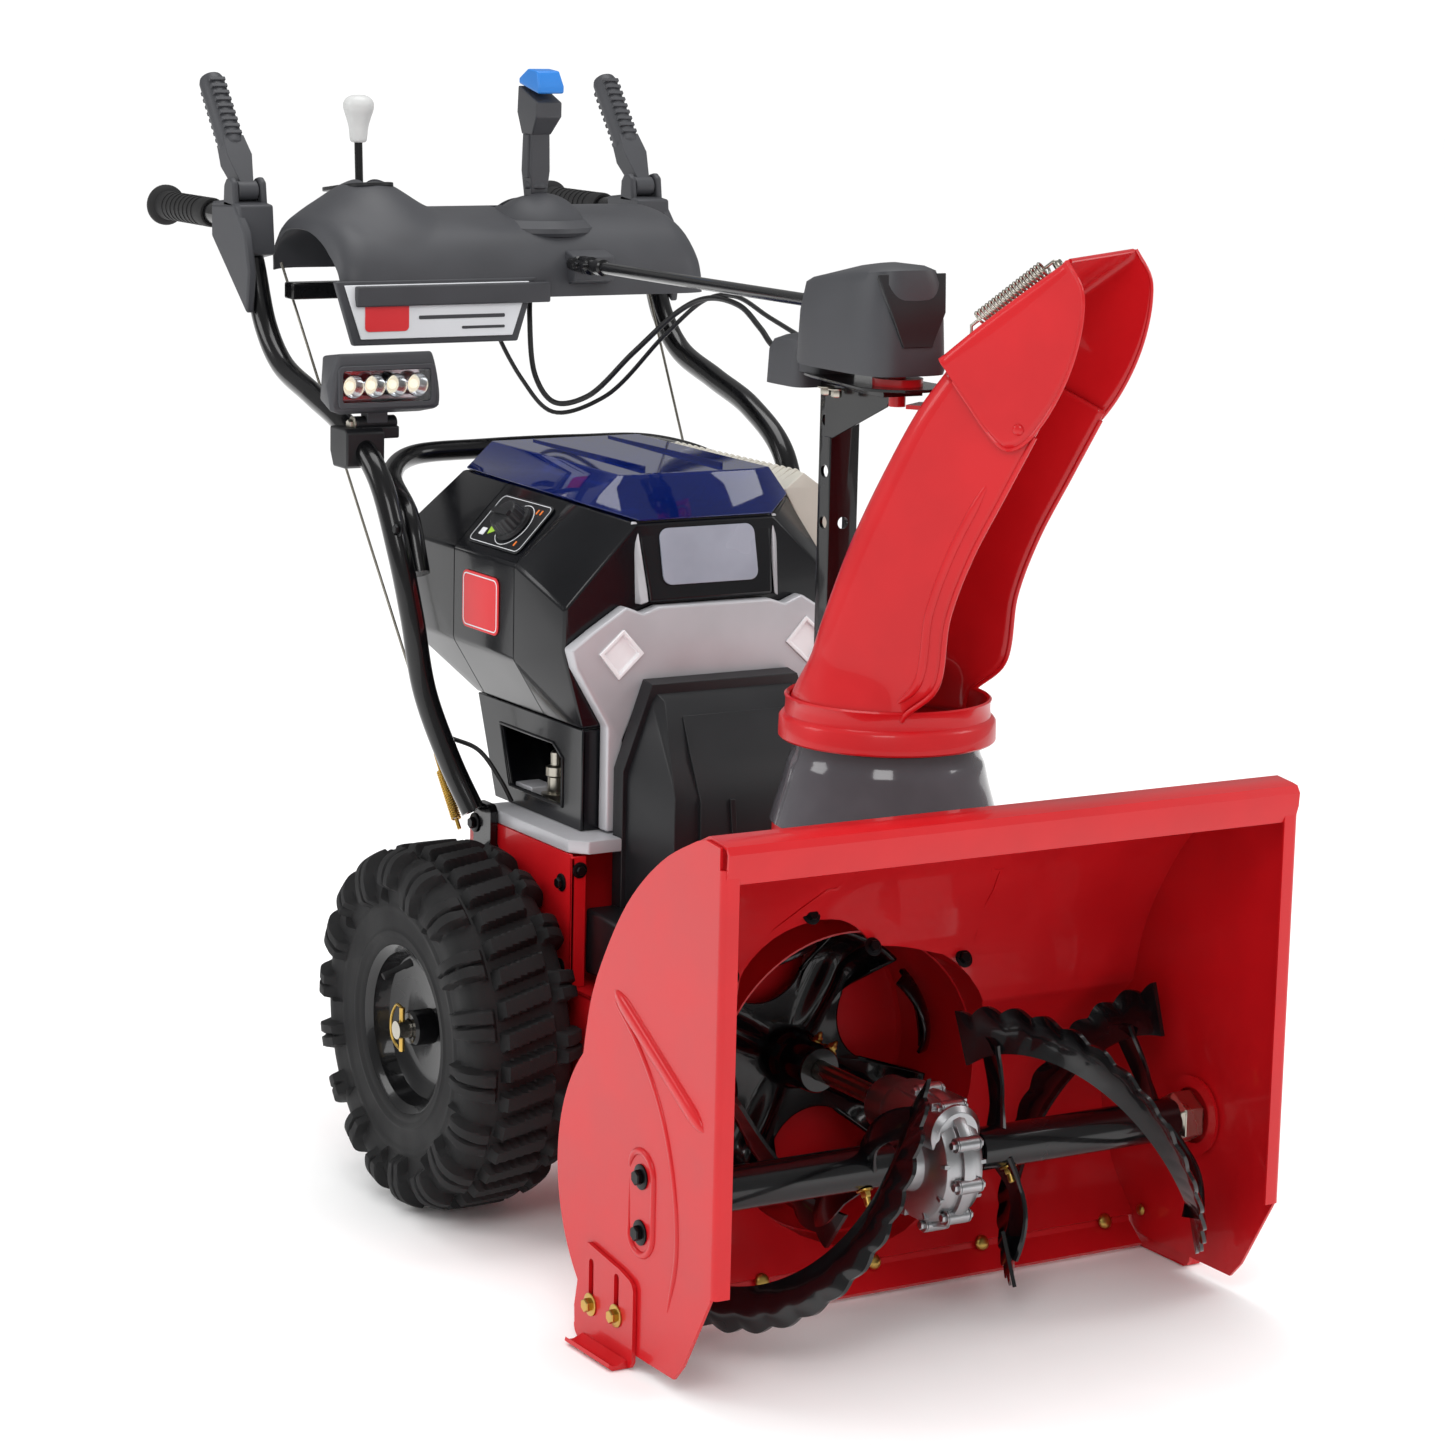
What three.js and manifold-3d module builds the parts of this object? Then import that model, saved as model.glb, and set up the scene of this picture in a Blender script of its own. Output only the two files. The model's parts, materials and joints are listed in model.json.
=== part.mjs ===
// Two stage snowblower: intake housing with auger, impeller and chute, battery power head, chassis, wheels and handles.
// Millimetres, +Z up, front of the machine towards -Y, the operator stands at +Y and calls -X the right side.
// The model is laid out with y = 0 at the wheel axle and moved at the end, so that its box is centred on the origin.
import * as THREE from "three";
import { mergeVertices } from "three/addons/utils/BufferGeometryUtils.js";
import { ConvexGeometry } from "three/addons/geometries/ConvexGeometry.js";
import Module from "manifold-3d";

const wasm = await Module();
wasm.setup();

// ---- driving dimensions -------------------------------------------------------------------------
const GAP = 0.4; // clearance between pieces that touch
const FRONT_Y = -671; // front lip of the housing
const BACK_Y = 723; // ends of the grips
const SIDE = 318; // outside of the intake side plates
const SHEET = 3; // sheet steel
const AUGER = { y: -535, z: 162, shaft: 16, outer: 135, inner: 96 };
const IMPELLER = { z: 195, radius: 147, shaft: 10 };
const DRUM = { radius: 153, back: -240 };
const CHUTE = { y: -435, turn: 33, half: 82 };
const WHEEL = { z: 190.5, x: 245, half: 58, bead: 84 };
const CHASSIS = { half: 172, front: -128, back: 95, low: 80, high: 388 };
const MOTOR = { z: 470, pulley: 20 };
const BELT = { y: -160, half: 7, pulley: 72 };
const TUBE = 12.5; // handlebar tube radius
const HANDLE_X = 250;
const STICK = { x: 50, y: 384, z: 955, dome: 62 };
const SHIFT = { x: -138, y: 438, z: 940 };
const LEVER = { y: 497, z: 1014, angle: 51.3, length: 154 };
const HEADLIGHT = { x: -230, y: 212, z: 786 };

// ---- colours and finishes -----------------------------------------------------------------------
const finish = (color, roughness, metalness) => new THREE.MeshStandardMaterial({ color, roughness, metalness });
const RED = finish(0xc4161c, 0.25, 0.1);
const BLACK_GLOSS = finish(0x111214, 0.2, 0.2);
const BLACK_PLASTIC = finish(0x1c1d20, 0.45, 0);
const GREY_PLASTIC = finish(0x55565b, 0.5, 0);
const SILVER = finish(0xb9b4b2, 0.4, 0.1);
const PALE = finish(0xcfcac2, 0.6, 0);
const CAST = finish(0xb4b5b6, 0.4, 0.8);
const STEEL = finish(0x8d8f92, 0.35, 0.9);
const RUBBER = finish(0x17181a, 0.85, 0);
const BLUE = finish(0x1d3fa0, 0.1, 0);
const BLUE_CAP = finish(0x2f8fdc, 0.4, 0);

// ---- solids -------------------------------------------------------------------------------------
// A closed geometry as a solid, turned outside out where its faces point inwards.
function solid(geometry) {
  const bare = (geometry.index ? geometry.toNonIndexed() : geometry.clone());
  bare.deleteAttribute("normal");
  bare.deleteAttribute("uv");
  const merged = mergeVertices(bare, 1e-3);
  const triVerts = new Uint32Array(merged.index.array);
  const vertProperties = merged.attributes.position.array;
  const point = (i) => new THREE.Vector3().fromArray(vertProperties, triVerts[i] * 3);
  let volume = 0;
  for (let i = 0; i < triVerts.length; i += 3) volume += point(i).dot(point(i + 1).cross(point(i + 2)));
  if (volume < 0) {
    for (let i = 0; i < triVerts.length; i += 3) [triVerts[i + 1], triVerts[i + 2]] = [triVerts[i + 2], triVerts[i + 1]];
  }
  return new wasm.Manifold(new wasm.Mesh({ numProp: 3, vertProperties, triVerts }));
}

const join = (first, ...rest) => rest.reduce((sum, one) => sum.add(one), first);
const cut = (first, ...rest) => rest.reduce((sum, one) => sum.subtract(one), first);
const common = (first, second) => first.intersect(second);

function geometryOf(made) {
  const { vertProperties, triVerts } = made.getMesh();
  const geometry = new THREE.BufferGeometry();
  geometry.setAttribute("position", new THREE.Float32BufferAttribute(vertProperties, 3));
  geometry.setIndex(new THREE.Uint32BufferAttribute(triVerts, 1));
  geometry.computeVertexNormals();
  return geometry;
}

const root = new THREE.Group();

// Adds one named piece. mirror makes the same piece for the other side of the machine.
function piece(name, made, material, { parent = root, mirror = false } = {}) {
  const mesh = new THREE.Mesh(geometryOf(made), material);
  mesh.name = name;
  if (mirror) mesh.scale.x = -1;
  parent.add(mesh);
}

function bothSides(name, made, material) {
  piece(name + "_right", made, material);
  piece(name + "_left", made, material, { mirror: true });
}

const toVectors = (points) => points.map(([u, v]) => new THREE.Vector2(u, v));
const axes = (u, v, w) => new THREE.Matrix4().makeBasis(new THREE.Vector3(...u), new THREE.Vector3(...v), new THREE.Vector3(...w));
const ALONG_X = axes([0, 1, 0], [0, 0, 1], [1, 0, 0]);
const ALONG_Y = axes([1, 0, 0], [0, 0, 1], [0, -1, 0]);

function prism(points, depth) {
  return new THREE.ExtrudeGeometry(new THREE.Shape(toVectors(points)), { depth, bevelEnabled: false });
}

// Outlines in (y, z), (x, z) and (x, y), carried along the third axis.
const alongX = (points, x0, x1) => solid(prism(points, x1 - x0).applyMatrix4(ALONG_X).translate(x0, 0, 0));
const alongY = (points, y0, y1) => solid(prism(points, y1 - y0).applyMatrix4(ALONG_Y).translate(0, y1, 0));
const alongZ = (points, z0, z1) => solid(prism(points, z1 - z0).translate(0, 0, z0));

const box = (x0, x1, y0, y1, z0, z1) =>
  solid(new THREE.BoxGeometry(x1 - x0, y1 - y0, z1 - z0).translate((x0 + x1) / 2, (y0 + y1) / 2, (z0 + z1) / 2));

const hull = (points) => solid(new ConvexGeometry(points.map((p) => new THREE.Vector3(...p))));

// Both signs of x for each point, for a hull that is the same on both sides.
const paired = (points) => points.flatMap(([x, y, z]) => [[x, y, z], [-x, y, z]]);

// A profile of [radius, height] turned round an axis through (x, y, z).
function turned(profile, axis, [x, y, z], segments = 32) {
  const geometry = new THREE.LatheGeometry(toVectors(profile), segments);
  if (axis === "x") geometry.rotateZ(-Math.PI / 2);
  if (axis === "z") geometry.rotateX(Math.PI / 2);
  return solid(geometry.translate(x, y, z));
}

const rod = (radius, axis, from, to, at, segments = 24) =>
  turned([[0, from], [radius, from], [radius, to], [0, to]], axis, at, segments);

// A round bar between two points.
function bar(from, to, radius, segments = 12) {
  const a = new THREE.Vector3(...from);
  const b = new THREE.Vector3(...to);
  const along = b.clone().sub(a);
  const turn = new THREE.Quaternion().setFromUnitVectors(new THREE.Vector3(0, 1, 0), along.clone().normalize());
  const geometry = new THREE.CylinderGeometry(radius, radius, along.length(), segments).applyQuaternion(turn);
  const middle = a.add(b).multiplyScalar(0.5);
  return solid(geometry.translate(middle.x, middle.y, middle.z));
}

// A round tube or cable swept through the points.
function swept(points, radius, steps, sides = 10) {
  const path = new THREE.CatmullRomCurve3(points.map((p) => new THREE.Vector3(...p)), false, "centripetal");
  const section = new THREE.Shape();
  for (let i = 0; i < sides; i++) {
    const a = (i / sides) * Math.PI * 2;
    if (i === 0) section.moveTo(radius * Math.cos(a), radius * Math.sin(a));
    else section.lineTo(radius * Math.cos(a), radius * Math.sin(a));
  }
  return solid(new THREE.ExtrudeGeometry(section, { steps, extrudePath: path, bevelEnabled: false, curveSegments: 1 }));
}

// The outline of a bent sheet: the points of one face, then the other face, thick to the left of the way along.
function bent(points, thick) {
  const left = points.map((point, i) => {
    const sides = [points[i - 1], points[i + 1]].map((other, k) => {
      if (!other) return null;
      const way = k ? [other[0] - point[0], other[1] - point[1]] : [point[0] - other[0], point[1] - other[1]];
      const length = Math.hypot(...way);
      return [-way[1] / length, way[0] / length];
    });
    const [a, b] = [sides[0] ?? sides[1], sides[1] ?? sides[0]];
    const share = thick / (1 + a[0] * b[0] + a[1] * b[1]);
    return [point[0] + (a[0] + b[0]) * share, point[1] + (a[1] + b[1]) * share];
  });
  return [...points, ...left.reverse()];
}

const arc = (y, z, radius, from, to, steps) =>
  Array.from({ length: steps + 1 }, (_, i) => {
    const a = THREE.MathUtils.degToRad(from + ((to - from) * i) / steps);
    return [y + radius * Math.cos(a), z + radius * Math.sin(a)];
  });

// A closed body through rings of the same number of points.
function rings(list) {
  const count = list[0].length;
  const geometry = new THREE.BufferGeometry();
  geometry.setAttribute("position", new THREE.Float32BufferAttribute(list.flat(2), 3));
  const index = [];
  for (let i = 0; i + 1 < list.length; i++) {
    for (let k = 0; k < count; k++) {
      const a = i * count + k;
      const b = i * count + ((k + 1) % count);
      index.push(a, b, b + count, a, b + count, a + count);
    }
  }
  const last = (list.length - 1) * count;
  for (let k = 1; k + 1 < count; k++) index.push(0, k + 1, k, last, last + k, last + k + 1);
  geometry.setIndex(index);
  return solid(geometry);
}

// ---- intake housing -----------------------------------------------------------------------------
// The outside face of the wrapper, from the front lip over the top, down the sloping back and round under the auger.
const WRAP_LIP = [[-665, 487], [-671, 518], [-636, 522]];
const WRAP_SLOPE = [[-565, 487], [-503, 435], [-456, 368], [-437, 328]];
const WRAP_ROUND = arc(AUGER.y, AUGER.z, 158, 45, -45, 8);
const WRAP_FOOT = [[-440, 32]];
const WRAP = [...WRAP_LIP, ...WRAP_SLOPE, ...WRAP_ROUND, ...WRAP_FOOT];

// The mouth of the drum: its circle, widened at the upper right where the throat starts.
const mouthArc = (radius, from, to, steps) => arc(0, IMPELLER.z, radius, from, to, steps);
const MOUTH = [
  ...mouthArc(DRUM.radius, -198, 62, 36),
  [20, 345], [-15, 352], [-40, 372], [-68, 386], [-100, 388], [-135, 374], [-158, 340], [-160, 300],
];

function wrapper() {
  const sheet = alongX(bent(WRAP, -SHEET), -SIDE + SHEET + GAP, SIDE - SHEET - GAP);
  return cut(sheet, alongY(MOUTH, -500, -360));
}
piece("auger_housing", wrapper(), RED);

function sidePlate() {
  const outline = [
    [-636, 522], [-671, 518], [-667, 487], [-667, 104], [-617, 29], [-600, 14], [-440, 14],
    ...arc(AUGER.y, AUGER.z, 160, -50, 45, 9), ...[...WRAP_SLOPE].reverse().map(([y, z]) => [y + 2, z + 2]),
  ];
  const skin = alongX(outline, -SIDE, -SIDE + SHEET);
  const flange = box(-SIDE, -SIDE + 12, -667, -664.5, 112, 478);
  return join(skin, flange);
}
bothSides("side_plate", sidePlate(), RED);

const scraper = alongX(bent([[-434, 36], [-438, 24], [-460, 7]], 5), -SIDE + 6, SIDE - 6);
piece("scraper_bar", cut(scraper, alongX(bent(WRAP, -SHEET - GAP), -SIDE, SIDE)), RED);

function skid() {
  const plate = alongX([[-531, 0], [-531, 70], [-512, 96], [-434, 96], [-420, 78], [-420, 22], [-434, 0]], -SIDE - 4.4, -SIDE - GAP);
  const foot = hull([
    [-SIDE - GAP, -531, 0], [-SIDE - GAP, -434, 0], [-SIDE - GAP, -531, 4], [-SIDE - GAP, -434, 4],
    [-342, -520, 0], [-342, -440, 0], [-342, -520, 4], [-342, -440, 4],
  ]);
  const hook = box(-SIDE - 14, -SIDE - GAP, -505, -440, 92, 96);
  const slot = (y) => alongX([[y - 5, 40], [y + 5, 40], [y + 5, 84], [y - 5, 84]], -SIDE - 8, -SIDE + 1);
  return cut(join(plate, foot, hook), slot(-500), slot(-452));
}
bothSides("skid", skid(), RED);

// ---- auger --------------------------------------------------------------------------------------
const WORM_WHEEL = 22;
const auger = [0, AUGER.y, AUGER.z];
piece("auger_shaft", turned([
  [0, -311], [AUGER.shaft, -311], [AUGER.shaft, -8], [WORM_WHEEL, -8], [WORM_WHEEL, 8], [AUGER.shaft, 8], [AUGER.shaft, 311], [0, 311],
], "x", auger, 24), BLACK_GLOSS);

const RAKE = { start: 62, end: 290, turn: 186, thick: 5, steps: 22 };

// One half of the auger: two ribbons that wind round a sleeve and push the snow to the middle.
function rake(side, phase) {
  const around = (x, radius, degrees) => {
    const a = THREE.MathUtils.degToRad(degrees);
    return [x, AUGER.y + radius * Math.cos(a), AUGER.z + radius * Math.sin(a)];
  };
  const sleeve = turned([
    [AUGER.shaft + GAP, 48], [AUGER.shaft + 5, 48], [AUGER.shaft + 5, 298], [AUGER.shaft + GAP, 298], [AUGER.shaft + GAP, 48],
  ], "x", auger, 20);
  const parts = [side < 0 ? solid(geometryOf(sleeve).scale(-1, 1, 1)) : sleeve];
  for (const start of [phase, phase + 180]) {
    const angle = (t) => start + RAKE.turn * t;
    const place = (t) => side * (RAKE.start + (RAKE.end - RAKE.start) * t);
    const list = [];
    for (let i = 0; i <= RAKE.steps; i++) {
      const t = i / RAKE.steps;
      const [x, a] = [place(t), angle(t)];
      list.push([
        around(x - RAKE.thick / 2, AUGER.inner, a), around(x + RAKE.thick / 2, AUGER.inner, a),
        around(x + RAKE.thick / 2, AUGER.outer, a), around(x - RAKE.thick / 2, AUGER.outer, a),
      ]);
    }
    parts.push(rings(list));
    for (const t of [0.1, 0.88]) {
      const arm = new THREE.BoxGeometry(7, AUGER.inner - AUGER.shaft + 4, 26)
        .translate(0, (AUGER.inner + AUGER.shaft) / 2 + 3, 0)
        .rotateX(THREE.MathUtils.degToRad(angle(t)))
        .translate(place(t), AUGER.y, AUGER.z);
      parts.push(solid(arm));
    }
  }
  return cut(join(...parts), rod(AUGER.shaft + GAP, "x", -320, 320, auger, 24));
}
piece("rake_right", rake(-1, 128), BLACK_GLOSS);
piece("rake_left", rake(1, 65), BLACK_GLOSS);

const impellerLine = [0, 0, IMPELLER.z];
function gearbox() {
  const body = join(
    rod(60, "x", -24, 24, auger, 28),
    rod(69, "x", -5, 5, auger, 28),
    rod(30, "y", -575, -452, impellerLine, 20),
    rod(27, "x", -38, 38, auger, 20),
  );
  return cut(
    body,
    rod(AUGER.shaft + GAP, "x", -60, 60, auger, 24),
    rod(WORM_WHEEL + 1, "x", -9, 9, auger, 24),
    rod(11, "y", -568, -497, impellerLine, 16),
    rod(IMPELLER.shaft + GAP, "y", -500, -440, impellerLine, 16),
  );
}
piece("auger_gearbox", gearbox(), CAST);

// ---- impeller and its drum ----------------------------------------------------------------------
piece("impeller_shaft", turned([
  [0, -565], [7, -565], [7, -560], [9.4, -560], [9.4, -512], [7, -512], [7, -498], [IMPELLER.shaft, -498], [IMPELLER.shaft, -135], [0, -135],
], "y", impellerLine, 16), STEEL);

function impeller() {
  const parts = [rod(24, "y", -318, -262, impellerLine, 20), rod(70, "y", -266, -262, impellerLine, 24)];
  for (let i = 0; i < 4; i++) {
    const blade = new THREE.BoxGeometry(IMPELLER.radius - 14, 62, 4).translate((IMPELLER.radius + 14) / 2, -294, 0);
    const tip = new THREE.BoxGeometry(18, 70, 4).rotateY(0.5).translate(IMPELLER.radius - 10, -297, 4);
    for (const each of [blade, tip]) {
      parts.push(solid(each.rotateY(-THREE.MathUtils.degToRad(20 + 90 * i)).translate(0, 0, IMPELLER.z)));
    }
  }
  return cut(join(...parts), rod(IMPELLER.shaft + GAP, "y", -400, -200, impellerLine, 16));
}
piece("impeller", impeller(), BLACK_GLOSS);

// The throat rises from the drum behind the wrapper, and turns round under the collar of the chute.
const THROAT = [[-160, 195], [-162, 345], [-140, 385], [-100, 425], [100, 425], [104, 400], [100, 300], [140, 195]];
const COLLAR = { radius: 108, low: 330, high: 470 };
const chuteLine = [0, CHUTE.y, 0];

// Everything on the auger's side of the wrapper.
const intakeRoom = () => alongX([...WRAP.map(([y, z]) => [y + 0.6, z + 0.6]), [-700, 32], [-700, 487]], -330, 330);

function drum() {
  const inside = THROAT.map(([x, z]) => [x - Math.sign(x) * SHEET, z === 425 ? z - SHEET : z]);
  const shell = join(
    rod(DRUM.radius + SHEET, "y", -500, DRUM.back, impellerLine, 40),
    alongY(THROAT, -545, -328),
    rod(COLLAR.radius, "z", COLLAR.low, COLLAR.high, chuteLine, 40),
  );
  const room = join(
    rod(DRUM.radius, "y", -501, DRUM.back - SHEET, impellerLine, 40),
    alongY(inside, -546, -328 - SHEET),
    rod(COLLAR.radius - SHEET, "z", COLLAR.low, COLLAR.high + 1, chuteLine, 40),
  );
  return cut(shell, room, intakeRoom(), rod(IMPELLER.shaft + GAP, "y", -300, -200, impellerLine, 16));
}
piece("impeller_drum", drum(), RED);

const collar = turned([
  [83, 551], [92, 528], [COLLAR.radius - 1, COLLAR.high + GAP], [COLLAR.radius + 2, COLLAR.high + GAP], [95, 528], [87, 551], [83, 551],
], "z", chuteLine, 36);
piece("chute_base", cut(collar, intakeRoom()), BLACK_PLASTIC);

// ---- drive --------------------------------------------------------------------------------------
const pulleyProfile = (radius, bore, from, to) => [
  [bore, from], [radius + 3, from], [radius - 4, (from + to) / 2 - 1], [radius - 4, (from + to) / 2 + 1], [radius + 3, to], [bore, to], [bore, from],
];
piece("impeller_pulley", turned(
  pulleyProfile(BELT.pulley, IMPELLER.shaft + GAP, BELT.y - 11, BELT.y + 11), "y", impellerLine, 32), STEEL);

const motorLine = [0, 0, MOTOR.z];
piece("motor_pulley", turned([
  [0, -176], [8, -176], [8, BELT.y - 10], [MOTOR.pulley + 3, BELT.y - 10], [MOTOR.pulley - 4, BELT.y], [MOTOR.pulley + 3, BELT.y + 10],
  [8, BELT.y + 10], [8, -86], [0, -86],
], "y", motorLine, 20), STEEL);
piece("motor", turned([
  [0, -85], [30, -85], [30, -78], [58, -78], [58, 60], [50, 72], [0, 72],
], "y", motorLine, 28), CAST);

// The belt is a closed band round both pulleys, clear of their rims.
function belt() {
  const reach = MOTOR.z - IMPELLER.z;
  const band = (grow) => {
    const [low, high] = [BELT.pulley + grow, MOTOR.pulley + grow];
    const lean = THREE.MathUtils.radToDeg(Math.asin((low - high) / reach));
    return [...arc(0, MOTOR.z, high, lean, 180 - lean, 8), ...arc(0, IMPELLER.z, low, 180 - lean, 360 + lean, 20)];
  };
  return cut(alongY(band(12), BELT.y - BELT.half, BELT.y + BELT.half), alongY(band(4), BELT.y - 9, BELT.y + 9));
}
piece("drive_belt", belt(), RUBBER);

// ---- chassis, deck and wheels -------------------------------------------------------------------
function chassis() {
  const { half, front, back, low, high } = CHASSIS;
  const recess = -80; // the front wall stands back between the two front flanges
  const parts = [
    box(-half, half, recess, recess + SHEET, low, high),
    box(-half, half, back - SHEET, back, low, high),
    box(-half, half, front, back, low, low + SHEET),
  ];
  for (const s of [-1, 1]) {
    const [a, b] = [s * half, s * (half - SHEET)].sort((p, q) => p - q);
    const [c, d] = [s * half, s * (half - 17)].sort((p, q) => p - q);
    const [e, f] = [s * half, s * 122].sort((p, q) => p - q);
    parts.push(box(a, b, front, back, low, high));
    parts.push(box(a, b, DRUM.back + 2, front, low, 250));
    parts.push(box(c, d, front, front + SHEET, 248, high));
    parts.push(box(e, f, DRUM.back + 2, recess + 1, 247, 250));
  }
  return cut(
    join(...parts),
    rod(14, "x", -200, 200, [0, 0, WHEEL.z], 20),
    rod(24, "y", -100, -60, impellerLine, 20),
  );
}
piece("chassis_box", chassis(), RED);

const deck = alongZ([[-171, 70], [-171, -118], [-156, -135], [156, -135], [171, -118], [171, 70]], CHASSIS.high + GAP, 402);
piece("motor_deck", cut(deck, box(-50, 50, -88, 50, 380, 410), box(-118, 118, -140, -113, 380, 410)), CAST);

piece("axle", rod(9.5, "x", -304, 304, [0, 0, WHEEL.z], 16), STEEL);

function tyre() {
  const { half, bead } = WHEEL;
  const side = [[bead, 46], [89.2, 46.2], [89.4, 53], [108, 57], [140, half], [165, 56], [181, 49], [189.5, 30], [190.5, 0]];
  const other = side.slice(0, -1).reverse().map(([r, x]) => [r, -x]);
  return turned([...side, ...other, side[0]], "x", [-WHEEL.x, 0, WHEEL.z], 40);
}
bothSides("tyre", tyre(), RUBBER);

// A dished rim: barrel, two flanges and a web set towards the machine, with a long hub.
function rim() {
  const out = -1; // the dish faces away from the machine
  const profile = [
    [9.9, 46 * out], [17, 46 * out], [17, -19 * out], [76, -22 * out], [78, 46 * out], [80, 52 * out], [88.6, 52 * out], [88.6, 46.6 * out],
    [83.5, 46 * out], [83.5, -46 * out], [88.6, -46.6 * out], [88.6, -52 * out], [80, -52 * out], [76, -26 * out], [17, -23 * out],
    [17, -44 * out], [9.9, -44 * out], [9.9, 46 * out],
  ];
  return turned(profile, "x", [-WHEEL.x, 0, WHEEL.z], 24);
}
bothSides("rim", rim(), BLACK_GLOSS);

// ---- power head ---------------------------------------------------------------------------------
const SHROUD = [
  [118, 225, 733], [118, -52, 728], [80, -88, 714],
  [180, 250, 668], [180, -14, 667], [165, -93, 632],
  [180, 250, 571], [180, -10, 570], [166, -93, 590],
  [142, 140, 508], [142, -92, 508], [142, -93, 520],
];
function shroud() {
  const middle = new THREE.Vector3(0, 60, 620);
  const inner = SHROUD.map(([x, y, z]) => [x - 4, y + (y < 0 ? 4 : -4), z > 700 ? z - 4 : z]);
  const low = inner.map(([x, y, z]) => (z < 530 ? [x - 2, y, middle.z - 130] : [x, y, z]));
  const bay = box(-106, 106, -44, 206, 640, 800);
  return cut(hull(paired(SHROUD)), hull(paired(low)), bay);
}
piece("powerhead_shroud", shroud(), BLACK_PLASTIC);

function lowerShroud() {
  const side = [[-92, 402.6], [97, 402.6], [139, 507.4], [-92, 507.4]];
  const room = [[-88, 400], [92, 400], [136, 510], [-88, 510]];
  const window = [[-48, 424], [66, 424], [84, 478], [-30, 478], [-48, 470]];
  return cut(
    alongX(side, -142, 142),
    alongX(room, -138, 138),
    alongX(window, -160, 160),
    rod(34, "y", -100, -80, motorLine, 20),
  );
}
piece("lower_shroud", lowerShroud(), BLACK_PLASTIC);

function fascia() {
  const half = [[0, 600], [66, 600], [102, 619], [166, 592], [160, 574], [124, 512], [124, 404], [106, 404], [106, 498], [84, 549], [0, 549]];
  const outline = [...half, ...half.slice(1, -1).reverse().map(([x, z]) => [-x, z])];
  const diamond = (s) => [[s * 108, 608], [s * 134, 587], [s * 112, 560], [s * 86, 586]];
  const plate = alongY(outline, -114, -93 - GAP);
  const pocket = (s) => alongY(s > 0 ? diamond(1) : diamond(-1).reverse(), -120, -104);
  return cut(plate, pocket(1), pocket(-1));
}
piece("front_fascia", fascia(), SILVER);

function beltCover() {
  const side = (inset, back) => [
    [back, 258 - inset], [back, 548 - inset], [-146 + inset, 545 - inset], [-186 + inset, 494 - inset], [-216 + inset, 458 - inset],
    [-224 + inset, 400], [-224 + inset, 258 - inset],
  ];
  const face = (inset) => [
    [-116 + inset, 250 - inset], [116 - inset, 250 - inset], [116 - inset, 470], [104 - inset, 486], [84 - inset, 560 - inset],
    [-84 + inset, 560 - inset], [-104 + inset, 486], [-116 + inset, 470],
  ];
  const outer = common(alongX(side(0, -114 - GAP), -118, 118), alongY(face(0), -230, -110));
  const room = common(alongX(side(3, -108), -118, 118), alongY(face(3), -230, -100));
  return cut(outer, room, box(-110, 110, -220, -100, 240, 262));
}
piece("belt_cover", beltCover(), BLACK_PLASTIC);

const COWL = [
  [123, -50, 690], [123, 238, 690], [123, -46, 735], [123, 238, 735], [146, -40, 750], [146, 238, 750],
  [170, -42, 733], [170, 238, 733], [186, -36, 680], [186, 238, 680], [184, -32, 640], [184, 238, 640],
];
piece("side_cowl", cut(hull(COWL), hull(paired(SHROUD.map(([x, y, z]) => [x + 0.6, y + Math.sign(y) * 0.6, z + 0.6])))), PALE);

// The lid is one see-through moulding, open below, hinged along its back edge.
const LID_LOW = [[119, 220, 734.5], [119, -54, 729.5], [79, -90, 716.5]];
const LID_TOP = [[90, 214, 766], [90, -63, 762], [72, -66, 761]];
function lid() {
  const shrink = ([x, y, z], down) => [x - 3, y + (y < 0 ? 3 : -3), z - down];
  const inside = [...LID_LOW.map((p) => shrink(p, 40)), ...LID_LOW.map((p) => shrink(p, 0)), ...LID_TOP.map((p) => shrink(p, 3))];
  const skin = cut(hull(paired([...LID_LOW, ...LID_TOP])), hull(paired(inside)));
  return cut(skin, hull(paired(SHROUD.map(([x, y, z]) => [x + 0.4, y + Math.sign(y) * 0.4, z + 0.5]))));
}
piece("battery_lid", lid(), BLUE);
piece("battery_pack", hull(paired([
  [92, -34, 560], [92, 190, 560], [96, -38, 600], [96, 194, 600], [96, -38, 712], [96, 194, 712], [84, -28, 728], [84, 184, 728],
])), BLACK_PLASTIC);

const ROOF_TILT = THREE.MathUtils.degToRad(-45.9); // the control face leans out to the right of the machine
const KNOB = [-151, 42, 700.6];
piece("power_knob", solid(
  new THREE.CylinderGeometry(17, 21, 22, 24).rotateX(Math.PI / 2).translate(0, 0, 11.5).rotateY(ROOF_TILT).translate(...KNOB)), BLACK_PLASTIC);

// ---- chute --------------------------------------------------------------------------------------
// Built pointing straight ahead about its own axis, then turned to the left with its group.
const chuteGroup = new THREE.Group();
chuteGroup.position.set(0, CHUTE.y, 0);
chuteGroup.rotation.z = THREE.MathUtils.degToRad(CHUTE.turn);
root.add(chuteGroup);

const CHUTE_BACK = [[56, 566], [56, 591], [43, 639], [31, 678], [6, 747], [-28, 820], [-58, 876], [-80, 912]];
const CHUTE_FRONT = [[-177, 870], [-145, 805], [-114, 743], [-94, 686], [-84, 619], [-50, 586], [-50, 566]];
const own = [0, 0, 0];

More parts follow.
